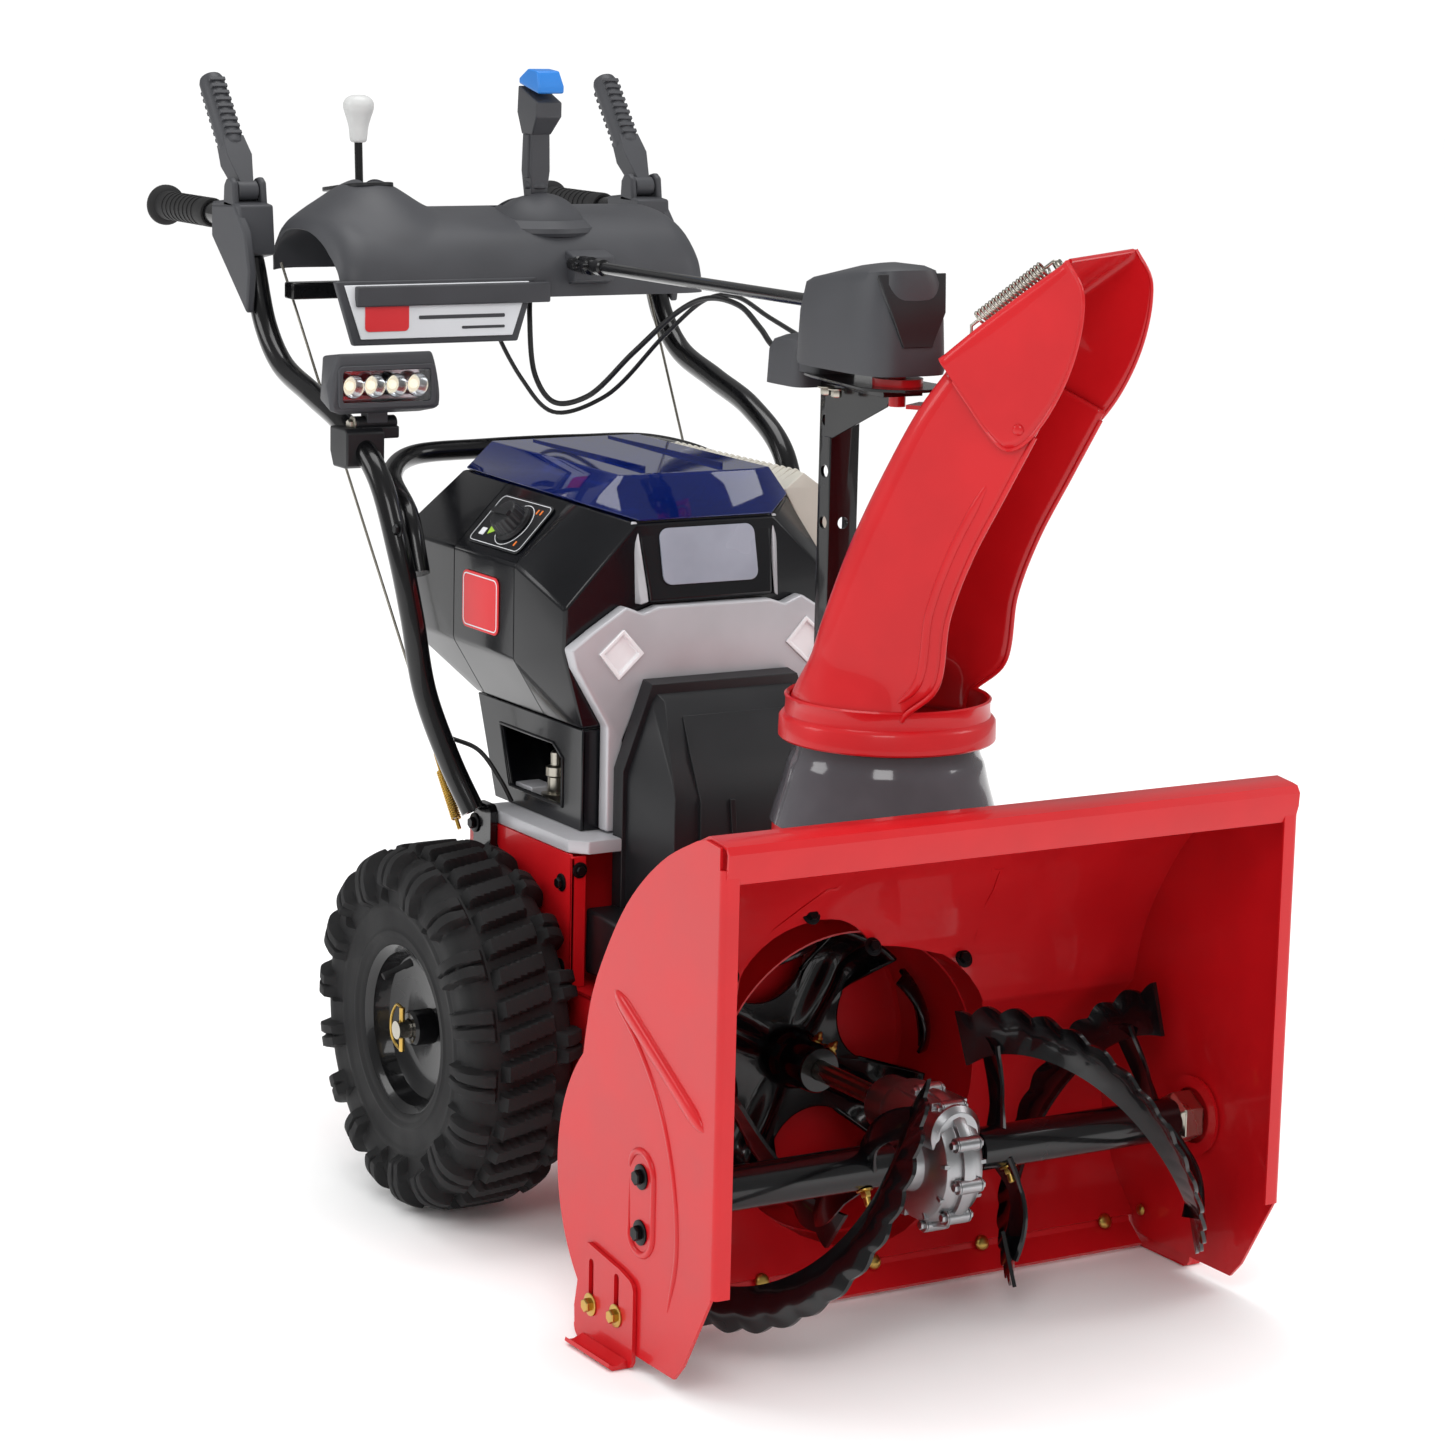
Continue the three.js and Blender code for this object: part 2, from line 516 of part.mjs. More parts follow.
function chute() {
  const trough = cut(
    alongX([...CHUTE_BACK, ...CHUTE_FRONT], -CHUTE.half, CHUTE.half),
    alongX([[53, 560], [53, 591], ...CHUTE_BACK.slice(2).map(([y, z]) => [y - 3, z - 1]), [-83, 930], [-200, 930], [-200, 560]],
      -CHUTE.half + 2.5, CHUTE.half - 2.5),
  );
  const ring = turned([[92, 551.6], [103, 551.6], [103, 572], [98, 575], [98, 590], [92, 590], [92, 551.6]], "z", own, 40);
  const arm = box(-16, 16, -62, 14, 868, 872);
  const pin = join(rod(8, "z", 868, 902, own, 16), rod(24, "z", 888, 895, own, 28));
  return join(cut(join(trough, ring), rod(92, "z", 540, 591, own, 40)), arm, pin);
}
piece("chute", chute(), RED, { parent: chuteGroup });

function deflector() {
  const lobe = [[-79, 925], [-199, 1020], [-215, 994], [-213, 962], [-207, 935], [-178, 870], [-160, 850], [-147, 846], [-134, 855], [-100, 895]];
  const cheek = (s) => (s > 0 ? alongX(lobe, CHUTE.half + 1, CHUTE.half + 3.5) : alongX(lobe, -CHUTE.half - 3.5, -CHUTE.half - 1));
  const panel = alongX(bent([[-79, 925], [-199, 1020]], 2.5), -CHUTE.half - 3.5, CHUTE.half + 3.5);
  return join(panel, cheek(1), cheek(-1));
}
piece("deflector", deflector(), RED, { parent: chuteGroup });

function post() {
  const column = box(-2, 30, -325, -303, 430, 878);
  const shelf = alongZ([[-2, -303], [30, -303], [30, -325], [22, CHUTE.y - 10], [-22, CHUTE.y - 10], [-22, -400], [-2, -325]], 878, 884);
  return cut(join(column, shelf), box(1, 27, -322, -300, 420, 870), rod(9, "z", 870, 890, chuteLine, 16));
}
piece("chute_post", post(), BLACK_PLASTIC);

// The cover holds the chute's gear and, behind it, the end of the rod.
function gearCover() {
  const nose = (radius, z) => arc(0, CHUTE.y + 16, radius, 180, 360, 10).map(([x, y]) => [x, y, z]);
  const shape = (inset) => hull([
    ...nose(47 - inset, 899), ...nose(44 - inset, 962), ...nose(36 - inset, 1001 - inset),
    ...paired([[42 - inset, -310 - inset, 899], [40 - inset, -312 - inset, 955], [34 - inset, -330, 992 - inset]]),
  ]);
  const small = (inset) => hull(paired([
    [26 - inset, -236 - inset, 872], [26 - inset, -316, 872], [22 - inset, -240 - inset, 912], [22 - inset, -316, 926 - inset],
  ]));
  const inside = join(shape(3), small(3), hull([...nose(44, 880), ...nose(44, 905), ...paired([[39, -314, 880], [39, -314, 905]])]),
    box(-22.5, 22.5, -318, -240, 860, 885));
  const aroundPost = box(-30, 34, -330, -300, 860, 885.5);
  return cut(join(shape(0), small(0)), inside, aroundPost, bar([-1, -285, 953.8], [-6, -340, 954.8], 9.5), bar([12, -225, 900], [12, -245, 900], 4.5));
}
piece("gear_cover", gearCover(), GREY_PLASTIC);

const ROD = { back: [52, 292, 944], front: [-5.5, -330, 954.6] };
piece("chute_rod", bar(ROD.back, ROD.front, 6.5, 12), BLACK_GLOSS);

// ---- handles ------------------------------------------------------------------------------------
const HANDLE_PATH = [
  [-250, 712, 984], [-250, 640, 984], [-250, 575, 984], [-250, 546, 982], [-250, 508, 970], [-250, 480, 943], [-250, 444, 872], [-250, 402, 834],
  [-250, 320, 808], [-250, 240, 784], [-248, 165, 740], [-242, 127, 665], [-234, 112, 600], [-224, 100, 520], [-205, 75, 446], [-191, 52, 400],
];
const handleTube = (grow, steps) => swept(HANDLE_PATH, TUBE + grow, steps, 12);
function handlebar() {
  const tab = box(-181, -CHASSIS.half - GAP, 32, 70, 320, 408);
  return join(handleTube(0, 46), tab);
}
bothSides("handlebar", handlebar(), BLACK_GLOSS);

piece("handle_hoop", swept([
  [-217, 128, 640], [-215, 158, 695], [-196, 238, 728], [-150, 285, 742], [-60, 293, 745],
  [60, 293, 745], [150, 285, 742], [196, 238, 728], [215, 158, 695], [217, 128, 640],
], 11, 36, 10), BLACK_GLOSS);

bothSides("grip", turned([
  [12.9, 585], [16.5, 585], [16.5, 714], [23, 716], [23, 723], [0, 723], [0, 713], [12.9, 713], [12.9, 585],
], "y", [-HANDLE_X, 0, 984], 20), RUBBER);

function leverBracket() {
  const block = hull([
    [-270, 462, 946], [-230, 462, 946], [-270, 500, 940], [-230, 500, 940], [-270, 538, 962], [-230, 538, 962],
    [-270, 470, 1000], [-230, 470, 1000], [-270, 538, 1000], [-230, 538, 1000],
  ]);
  const ears = join(box(-270, -263, 485, 509, 998, 1024), box(-237, -230, 485, 509, 998, 1024));
  return cut(join(block, ears), handleTube(GAP, 46));
}
bothSides("lever_bracket", leverBracket(), GREY_PLASTIC);

// A hand lever lies along +Y from its pivot and is turned up to its rest angle.
function handLever() {
  const hub = new THREE.CylinderGeometry(11, 11, 24, 20).rotateZ(Math.PI / 2);
  const neck = new ConvexGeometry([[7, 0, 9], [7, 0, -9], [19, 44, 12], [19, 44, -11], [12, 66, 11], [12, 66, -11]]
    .flatMap(([x, y, z]) => [new THREE.Vector3(x, y, z), new THREE.Vector3(-x, y, z)]));
  const handle = new THREE.CylinderGeometry(14.5, 14, LEVER.length - 56, 16).translate(0, (LEVER.length + 56) / 2, 0);
  const up = THREE.MathUtils.degToRad(LEVER.angle);
  return join(...[hub, neck, handle].map((g) => solid(g.rotateX(up).translate(-HANDLE_X, LEVER.y, LEVER.z))));
}
bothSides("hand_lever", handLever(), BLACK_PLASTIC);

// ---- dash, stick and shift lever ----------------------------------------------------------------
const DASH = [[300, 925], [306, 948], [328, 975], [368, 992], [420, 998], [462, 990], [482, 968], [484, 930]];
const stickAt = [STICK.x, STICK.y, STICK.z];
const ball = (radius, segments = 32) => solid(new THREE.SphereGeometry(radius, segments, 16).rotateX(Math.PI / 2).translate(...stickAt));
function dash() {
  const shell = alongX(bent(DASH, -3), -222, 222);
  const top = common(ball(STICK.dome), box(-30, 130, 300, 470, 972, 1100));
  const gate = box(SHIFT.x - 20, SHIFT.x + 20, SHIFT.y - 34, SHIFT.y + 44, 950, 1010);
  const slot = box(STICK.x - 42, STICK.x + 34, STICK.y - 16, STICK.y + 34, 960, 1030);
  return cut(join(shell, top), ball(STICK.dome - 3), slot, gate);
}
piece("dash_panel", dash(), GREY_PLASTIC);
piece("dash_crossbar", box(-237, 237, 402, 424, 902, 920), BLACK_GLOSS);

// The stick carries an inner cap that closes the dome's slot at every angle.
function stick() {
  const cap = cut(ball(STICK.dome - 3.6), ball(STICK.dome - 6), box(-60, 160, 280, 480, 880, STICK.z + 22));
  const column = hull(paired([[10, -10, 1010], [10, 10, 1010], [12, -12, 1040], [12, 12, 1040], [11, -12, 1086], [11, 10, 1086]])
    .map(([x, y, z]) => [x + STICK.x, y + STICK.y, z]));
  const head = hull(paired([[12, -13, 1080], [12, 12, 1080], [16, -30, 1100], [16, 16, 1104], [16, -30, 1116], [16, 14, 1133]])
    .map(([x, y, z]) => [x + STICK.x, y + STICK.y, z]));
  const stem = rod(7, "z", STICK.z - 6, 1015, [STICK.x, STICK.y, 0], 12);
  return join(cap, column, head, stem);
}
piece("stick", stick(), GREY_PLASTIC);
piece("stick_yoke", cut(rod(22, "z", STICK.z - 6, STICK.z + 6, [STICK.x, STICK.y, 0], 20), rod(14, "z", 940, 970, [STICK.x, STICK.y, 0], 20)), STEEL);
const TRIGGER = { y: 398, z: 1137 };
piece("stick_trigger", hull(paired([[15, 15, 1135], [15, 15, 1141], [15, -4, 1152], [15, -27, 1150], [16, -35, 1134], [16, -35, 1126], [16, -31.5, 1125.5]])
  .map(([x, y, z]) => [x + STICK.x, y + STICK.y, z])), BLUE_CAP);

const shiftTop = [-135, 452, 1068];
piece("shift_lever", join(
  bar([SHIFT.x, SHIFT.y, SHIFT.z], shiftTop, 4.5, 12),
  rod(10, "x", -9, 9, [SHIFT.x, SHIFT.y, SHIFT.z], 16),
), BLACK_GLOSS);
piece("shift_knob", turned([
  [0, 0.5], [7, 0.5], [10, 6], [12.5, 22], [17, 38], [16, 46], [10, 51], [0, 52],
], "z", shiftTop, 20), PALE);

// ---- headlight ----------------------------------------------------------------------------------
function headlightBracket() {
  const clamp = box(-272, -228, 190, 232, 744, 786);
  const arm = box(-250, -210, 196, 228, 772, 786.5);
  return cut(join(clamp, arm), handleTube(GAP, 46));
}
piece("headlight_bracket", headlightBracket(), BLACK_PLASTIC);
function headlight() {
  const { x } = HEADLIGHT;
  const shape = hull([
    ...[-64, 64].flatMap((d) => [[x + d, 182, 806], [x + d * 0.86, 184, 866], [x + d * 1.02, 196, 830]]),
    ...[-46, 46].flatMap((d) => [[x + d, 248, 812], [x + d, 246, 858], [x + d, 200, 800]]),
  ]);
  const foot = box(x - 12, x + 12, 204, 220, 789.5, 808);
  const recess = box(x - 52, x + 52, 170, 190, 812, 850);
  return cut(join(shape, foot), recess);
}
piece("headlight_housing", headlight(), GREY_PLASTIC);

// ---- cables -------------------------------------------------------------------------------------
// Each hand lever pulls a wire that ends in a spring beside the chassis.
function controlCable() {
  const top = new THREE.Vector3(-226, 455, 938);
  const foot = new THREE.Vector3(-188, 92, 378);
  const at = (t) => top.clone().lerp(foot, t).toArray();
  return join(bar(at(0), at(0.92), 1.8, 8), bar(at(0.91), at(1), 6, 10));
}
bothSides("control_cable", controlCable(), STEEL);
piece("deflector_cable", swept([
  [22, 340, 918], [14, 326, 885], [8, 300, 822], [14, 268, 796], [30, 222, 806], [46, 150, 860], [56, 70, 912], [54, 10, 930],
  [44, -70, 930], [22, -150, 914], [12, -195, 900], [12, -248, 900],
], 3, 40, 8), RUBBER);

root.position.y = -(FRONT_Y + BACK_Y) / 2;

export default root;
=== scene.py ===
import json

import bmesh
import bpy
import numpy as np
from mathutils import Matrix, Vector


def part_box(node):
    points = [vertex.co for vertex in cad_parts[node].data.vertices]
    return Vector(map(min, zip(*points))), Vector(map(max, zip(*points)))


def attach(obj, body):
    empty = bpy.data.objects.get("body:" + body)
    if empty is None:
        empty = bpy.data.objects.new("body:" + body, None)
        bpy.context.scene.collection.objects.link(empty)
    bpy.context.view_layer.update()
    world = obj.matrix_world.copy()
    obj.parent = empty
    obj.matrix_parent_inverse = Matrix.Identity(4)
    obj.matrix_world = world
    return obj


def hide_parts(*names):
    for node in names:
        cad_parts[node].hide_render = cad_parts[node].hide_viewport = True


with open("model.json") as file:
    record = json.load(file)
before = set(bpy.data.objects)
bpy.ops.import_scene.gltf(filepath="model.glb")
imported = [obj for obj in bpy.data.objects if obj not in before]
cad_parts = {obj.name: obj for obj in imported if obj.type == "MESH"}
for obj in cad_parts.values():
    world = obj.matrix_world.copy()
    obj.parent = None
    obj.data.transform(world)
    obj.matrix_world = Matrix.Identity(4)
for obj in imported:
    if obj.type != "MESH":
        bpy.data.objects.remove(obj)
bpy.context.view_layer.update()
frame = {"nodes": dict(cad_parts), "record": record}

# ---- Studio -------------------------------------------------------------------------------------
# The machine stands on a plain pale floor under soft boxes, seen from its right front corner.
# Sizes are given in millimetres with y = 0 at the wheel axle, which is where the frame says it is.
AXLE_Y = sum(corner.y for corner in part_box("axle")) / 2
camera_data = bpy.data.cameras.new("camera")
camera_data.sensor_width = 36
camera_data.lens = 99.14
camera_data.clip_end = 50
camera = bpy.data.objects.new("camera", camera_data)
bpy.context.scene.collection.objects.link(camera)
CAMERA_DEGREES = (-30.9814, 10.9837, 1.3202)  # azimuth, elevation, roll
CAMERA_PLACE = (-2.0534, -3.5499 + AXLE_Y, 1.2851)
azimuth, elevation, roll = np.radians(CAMERA_DEGREES)
back = Vector((np.sin(azimuth) * np.cos(elevation), -np.cos(azimuth) * np.cos(elevation), np.sin(elevation)))
right = (-back).cross(Vector((0, 0, 1))).normalized()
up = right.cross(-back)
lean_right = right * np.cos(roll) + up * np.sin(roll)
lean_up = up * np.cos(roll) - right * np.sin(roll)
turn = Matrix((lean_right, lean_up, back)).transposed().to_4x4()
camera.matrix_world = Matrix.Translation(CAMERA_PLACE) @ turn
bpy.context.scene.camera = camera
bpy.context.scene.view_settings.view_transform = "Standard"


def linear(text):
    """An sRGB hex colour as linear RGB with alpha 1: ((c + 0.055) / 1.055) ** 2.4 above the toe, c / 12.92
    below it."""
    c = np.array([int(text[i : i + 2], 16) for i in (1, 3, 5)]) / 255
    return (*np.where(c > 0.04045, ((c + 0.055) / 1.055) ** 2.4, c / 12.92), 1.0)


def add(material, kind, settings=None, **links):
    """Adds one node, sets its properties and sockets, and links named sockets (spaces as _) to other nodes'
    outputs."""
    node = material.node_tree.nodes.new(kind)
    for key, value in (settings or {}).items():
        if key in node.inputs:
            node.inputs[key].default_value = value
        else:
            setattr(node, key, value)
    for key, output in links.items():
        material.node_tree.links.new(output, node.inputs[key.replace("_", " ")])
    return node


def finish_of(name, color, settings, grain_mm=3.0, bump=0.05, mottle=0.12, rough_swing=0.12):
    """A surface with its colour and its roughness mottled in the same broad patches, and a grain raised over
    it. grain_mm is the size of the grain, bump its strength, mottle and rough_swing how far colour and
    roughness swing."""
    made = bpy.data.materials.new(name)
    made.use_nodes = True
    made.node_tree.nodes.clear()
    place = add(made, "ShaderNodeTexCoord").outputs["Object"]
    broad = add(made, "ShaderNodeTexNoise", {"Scale": 14.0, "Detail": 3.0}, Vector=place)
    fine = add(made, "ShaderNodeTexNoise", {"Scale": 1000 / grain_mm, "Detail": 2.0}, Vector=place)
    dark, light = (np.array(linear(color)) * (1 + sign * mottle) for sign in (-1, 1))
    tint = add(made, "ShaderNodeValToRGB", Fac=broad.outputs["Fac"])
    tint.color_ramp.elements[0].position, tint.color_ramp.elements[1].position = 0.35, 0.65
    tint.color_ramp.elements[0].color = (*dark[:3].clip(0, 1), 1)
    tint.color_ramp.elements[1].color = (*light[:3].clip(0, 1), 1)
    rough = settings["Roughness"]
    swing = add(made, "ShaderNodeMapRange", {
        "From Min": 0.3, "From Max": 0.7, "To Min": rough * (1 - rough_swing),
        "To Max": min(rough * (1 + rough_swing), 1)},
        Value=broad.outputs["Fac"])
    raised = add(made, "ShaderNodeBump", {"Strength": bump, "Distance": grain_mm / 4000},
        Height=fine.outputs["Fac"])
    shader = add(made, "ShaderNodeBsdfPrincipled", {k: v for k, v in settings.items() if k != "Roughness"},
                 Base_Color=tint.outputs["Color"], Roughness=swing.outputs["Result"],
                 Normal=raised.outputs["Normal"])
    add(made, "ShaderNodeOutputMaterial", Surface=shader.outputs["BSDF"])
    made.diffuse_color = linear(color)
    return made


# Painted board: dull and nearly white, so that the shadow under the machine stays soft.
floor_paint = finish_of("floor_paint", "#FFFFFF", {"Roughness": 0.8, "Specular IOR Level": 0.2}, grain_mm=8,
    bump=0.01, mottle=0.004)
bpy.ops.mesh.primitive_plane_add(size=40, location=(0, 0, -0.001))
floor = bpy.context.object
floor.name = "floor"
floor.data.materials.append(floor_paint)
world = bpy.data.worlds.new("pale_room")
world.use_nodes = True
world.node_tree.nodes["Background"].inputs["Color"].default_value = (1, 1, 1, 1)
rays = world.node_tree.nodes.new("ShaderNodeLightPath")
dimmer = world.node_tree.nodes.new("ShaderNodeMapRange")  # shiny surfaces see the room at under half its brightness
dimmer.inputs["To Min"].default_value, dimmer.inputs["To Max"].default_value = 1.08, 0.3
world.node_tree.links.new(rays.outputs["Is Glossy Ray"], dimmer.inputs["Value"])
world.node_tree.links.new(dimmer.outputs["Result"], world.node_tree.nodes["Background"].inputs["Strength"])
bpy.context.scene.world = world
SOFT_BOXES = (  # place, size, watts
    ((-1.6, -2.6, 2.6), 1.2, 20),
    ((2.4, -1.6, 2.2), 1.0, 12),
    ((-2.6, 1.2, 2.0), 1.2, 14),
    ((0.2, 0.4, 3.4), 1.8, 34),
)
for place, size, watts in SOFT_BOXES:
    lamp = bpy.data.lights.new("soft_box", "AREA")
    lamp.energy, lamp.size = watts, size
    holder = bpy.data.objects.new("soft_box", lamp)
    bpy.context.scene.collection.objects.link(holder)
    holder.location = place
    holder.rotation_euler = (Vector((0, 0, 0.5)) - Vector(place)).to_track_quat("-Z", "Y").to_euler()

# ---- Intake housing -----------------------------------------------------------------------------
# One 3 mm steel sheet rolled over the auger, with a folded lip in front and a mouth cut for the impeller drum.
# Powder-coated bright red and baked, which leaves a deep gloss with a faint orange peel.
red_enamel = finish_of("red_enamel", "#BE1219", {
    "Roughness": 0.36, "Specular IOR Level": 0.25, "Coat Weight": 0.35, "Coat Roughness": 0.05}, grain_mm=4,
    bump=0.03, mottle=0.05)


def grid(points, wrap_rows=False, wrap_columns=False, caps=False):
    """Corners and quads of an (n, m, 3) array of points: quad (i, j) joins points (i, j), (i+1, j), (i+1, j+1),
    (i, j+1)."""
    n, m = points.shape[:2]
    index = np.arange(n * m).reshape(n, m)
    if wrap_rows:
        index = np.vstack([index, index[:1]])
    if wrap_columns:
        index = np.hstack([index, index[:, :1]])
    quads = np.stack([index[:-1, :-1], index[1:, :-1], index[1:, 1:], index[:-1, 1:]], -1).reshape(-1, 4)
    faces = quads.tolist()
    if caps:
        faces += [list(range(m)), list(range((n - 1) * m, n * m))]
    return points.reshape(-1, 3), faces


def prism(outline, low, high, along="x"):
    """A flat outline carried from low to high along x, y or z. The outline is in the other two axes, in that
    order."""
    flat = np.array(outline, float)
    ends = np.array([low, high], float)[:, None].repeat(len(flat), 1)
    u, v = np.broadcast_to(flat[:, 0], ends.shape), np.broadcast_to(flat[:, 1], ends.shape)
    order = {"x": (ends, u, v), "y": (u, ends, v), "z": (u, v, ends)}[along]
    return grid(np.stack(order, -1), wrap_columns=True, caps=True)


def block(x, y, z):
    """A box between pairs of limits."""
    return prism([(y[0], z[0]), (y[1], z[0]), (y[1], z[1]), (y[0], z[1])], *x)


def turned(profile, centre, along="x", steps=64, closed=False):
    """A profile of (distance along the axis, radius) turned round it. A closed profile ends where it starts."""
    s, r = np.array(profile, float).T
    a = np.linspace(0, 2 * np.pi, steps, endpoint=False)[:, None]
    s, c, d = np.broadcast_to(s, (steps, len(s))), r * np.cos(a), r * np.sin(a)
    order = {"x": (s, c, d), "y": (c, s, d), "z": (c, d, s)}[along]
    return grid(np.stack(order, -1) + np.array(centre, float), wrap_rows=True, wrap_columns=closed)


def smooth_path(points, steps):
    """Evenly spaced points on a Catmull-Rom curve through the given ones, by centripetal knots."""
    p = np.array(points, float)
    p = np.vstack([2 * p[0] - p[1], p, 2 * p[-1] - p[-2]])
    k = np.concatenate([[0], np.cumsum(np.linalg.norm(np.diff(p, axis=0), axis=1) ** 0.5)])
    t = np.linspace(k[1], k[-2], steps * 8)
    i = np.clip(np.searchsorted(k, t, side="right") - 1, 1, len(p) - 3)
    g = lambda a, b, pa, pb: ((k[b] - t) / (k[b] - k[a]))[:, None] * pa + ((t - k[a]) / (k[b] - k[a]))[:,
        None] * pb
    a1, a2, a3 = g(i - 1, i, p[i - 1], p[i]), g(i, i + 1, p[i], p[i + 1]), g(i + 1, i + 2, p[i + 1], p[i + 2])
    curve = g(i, i + 1, g(i - 1, i + 1, a1, a2), g(i, i + 2, a2, a3))
    length = np.concatenate([[0], np.cumsum(np.linalg.norm(np.diff(curve, axis=0), axis=1))])
    even = np.linspace(0, length[-1], steps)
    return np.stack([np.interp(even, length, curve[:, n]) for n in range(curve.shape[1])], -1)


def swept(path, section, up=(0, 0, 1), scale=1.0, closed=False):
    """A closed section of (side, up) carried along a path: side is the path's direction crossed with up."""
    path = np.array(path, float)
    way = np.gradient(path, axis=0) if not closed else np.roll(path, -1, 0) - np.roll(path, 1, 0)
    way /= np.linalg.norm(way, axis=1)[:, None]
    side = np.cross(way, np.array(up, float))
    side /= np.linalg.norm(side, axis=1)[:, None]
    top = np.cross(side, way)
    s = np.array(section, float) * np.reshape(scale, (-1, 1, 1))
    points = path[:, None] + side[:, None] * s[..., :1] + top[:, None] * s[..., 1:]
    return grid(points, wrap_rows=closed, wrap_columns=True, caps=not closed)


def circle(radius, steps=20):
    """Points on a circle about the origin."""
    a = np.linspace(0, 2 * np.pi, steps, endpoint=False)
    return np.stack([radius * np.cos(a), radius * np.sin(a)], -1)


def moved(part, shift=(0, 0, 0), turn_about=None, degrees=0.0, centre=(0, 0, 0)):
    """A part turned about an axis through centre, then shifted."""
    points, faces = part
    if turn_about is not None:
        matrix = np.array(Matrix.Rotation(np.radians(degrees), 3, Vector(turn_about)))
        points = (points - np.array(centre)) @ matrix.T + np.array(centre)
    return points + np.array(shift), faces


def piece(name, body, parts, material, stands_for=(), crease=35, bevel=0.0, segments=2, thick=0.0,
    levels=0):
    """One finished piece: its parts' corners in the frame's metres, edges sharper than crease degrees kept,
    finished by modifiers."""
    points, faces, start = [], [], 0
    for corners, sides in parts:
        points.append(corners)
        faces += [[start + i for i in side] for side in sides]
        start += len(corners)
    mesh = bpy.data.meshes.new(name)
    mesh.from_pydata(((np.vstack(points) / 1000) + (0, AXLE_Y, 0)).tolist(), [], faces)
    worked = bmesh.new()
    worked.from_mesh(mesh)
    bmesh.ops.remove_doubles(worked, verts=worked.verts, dist=2e-6)
    bmesh.ops.recalc_face_normals(worked, faces=worked.faces)
    worked.to_mesh(mesh)
    worked.free()
    mesh.shade_smooth()
    mesh.set_sharp_from_angle(angle=np.radians(crease))
    mesh.materials.append(material)
    made = bpy.data.objects.new(name, mesh)
    bpy.context.scene.collection.objects.link(made)
    if thick:
        wall = made.modifiers.new("wall", "SOLIDIFY")
        wall.thickness, wall.offset = thick / 1000, 0
    if bevel:
        edge = made.modifiers.new("edge", "BEVEL")
        edge.width, edge.segments, edge.limit_method, edge.angle_limit = bevel / 1000, segments, "ANGLE", np.radians(30)
    if levels:
        round_off = made.modifiers.new("round_off", "SUBSURF")
        round_off.levels = round_off.render_levels = levels
    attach(made, body)
    if stands_for:
        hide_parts(*stands_for)
    return made


def carved(made, cutters):
    """Cuts each cutter part out of a piece with an exact boolean, and keeps the result as its mesh."""
    for part in cutters:
        mesh = bpy.data.meshes.new("cutter")
        mesh.from_pydata(((part[0] / 1000) + (0, AXLE_Y, 0)).tolist(), [], part[1])
        worked = bmesh.new()
        worked.from_mesh(mesh)
        bmesh.ops.recalc_face_normals(worked, faces=worked.faces)
        worked.to_mesh(mesh)
        worked.free()
        cutter = bpy.data.objects.new("cutter", mesh)
        bpy.context.scene.collection.objects.link(cutter)
        cut = made.modifiers.new("cut", "BOOLEAN")
        cut.object, cut.operation, cut.solver = cutter, "DIFFERENCE", "EXACT"
        bpy.context.view_layer.update()
        result = bpy.data.meshes.new_from_object(made.evaluated_get(bpy.context.evaluated_depsgraph_get()))
        made.modifiers.clear()
        made.data = result
        bpy.data.objects.remove(cutter)
    made.data.shade_smooth()
    made.data.set_sharp_from_angle(angle=np.radians(35))
    return made


def arc(y, z, radius, start, stop, steps):
    """Points on an arc about (y, z), by degrees."""
    a = np.radians(np.linspace(start, stop, steps))
    return np.stack([y + radius * np.cos(a), z + radius * np.sin(a)], -1)


AUGER_Y, AUGER_Z = -535, 162
SIDE = 318
lip = [(-662, 487), (-667, 502), (-668, 514), (-665, 518.5), (-659, 519.4), (-636, 522)]
slope = smooth_path([(-636, 522), (-565, 487), (-503, 435), (-456, 368), (-437, 328), (-423.3, 273.7)], 26)
wrap = np.vstack([lip[:-1], slope[:-1], arc(AUGER_Y, AUGER_Z, 158, 45, -45, 30), [(-440, 32)]])


def sheet_outline(face, thickness):
    """A bent sheet's outline: its outside face, then the same face moved inwards along its normals."""
    way = np.gradient(face, axis=0)
    normal = np.stack([way[:, 1], -way[:, 0]], -1) / np.linalg.norm(way, axis=1)[:, None]
    return np.vstack([face, (face + normal * thickness)[::-1]])


DRUM_Z = 195
mouth = np.vstack([arc(0, DRUM_Z, 153, -198, 62, 60), smooth_path([
    (72, 330), (20, 345), (-15, 352), (-40, 372), (-68, 386), (-100, 388), (-135, 374), (-158, 340),
    (-160, 300), (-145, 243)], 30)[1:-1]])
housing = piece("housing_sheet", "machine", [prism(sheet_outline(wrap, -3), -314.6, 314.6)], red_enamel,
    ["auger_housing"])
carved(housing, [prism(mouth, -500, -360, "y")])

# ---- Side plates --------------------------------------------------------------------------------
# Flat stamped plates that close the ends of the housing: a folded front edge, a slanting rib, a curved
# bead and a slot-shaped boss with two carriage bolts. The same red enamel.
plate_outline = np.vstack([
    [(-636, 522), (-661, 519.5), (-661, 480), (-661, 106), (-616, 31), (-600, 14), (-440, 14)],
    arc(AUGER_Y, AUGER_Z, 160, -50, 45, 30), slope[::-1][1:-1] + 2])


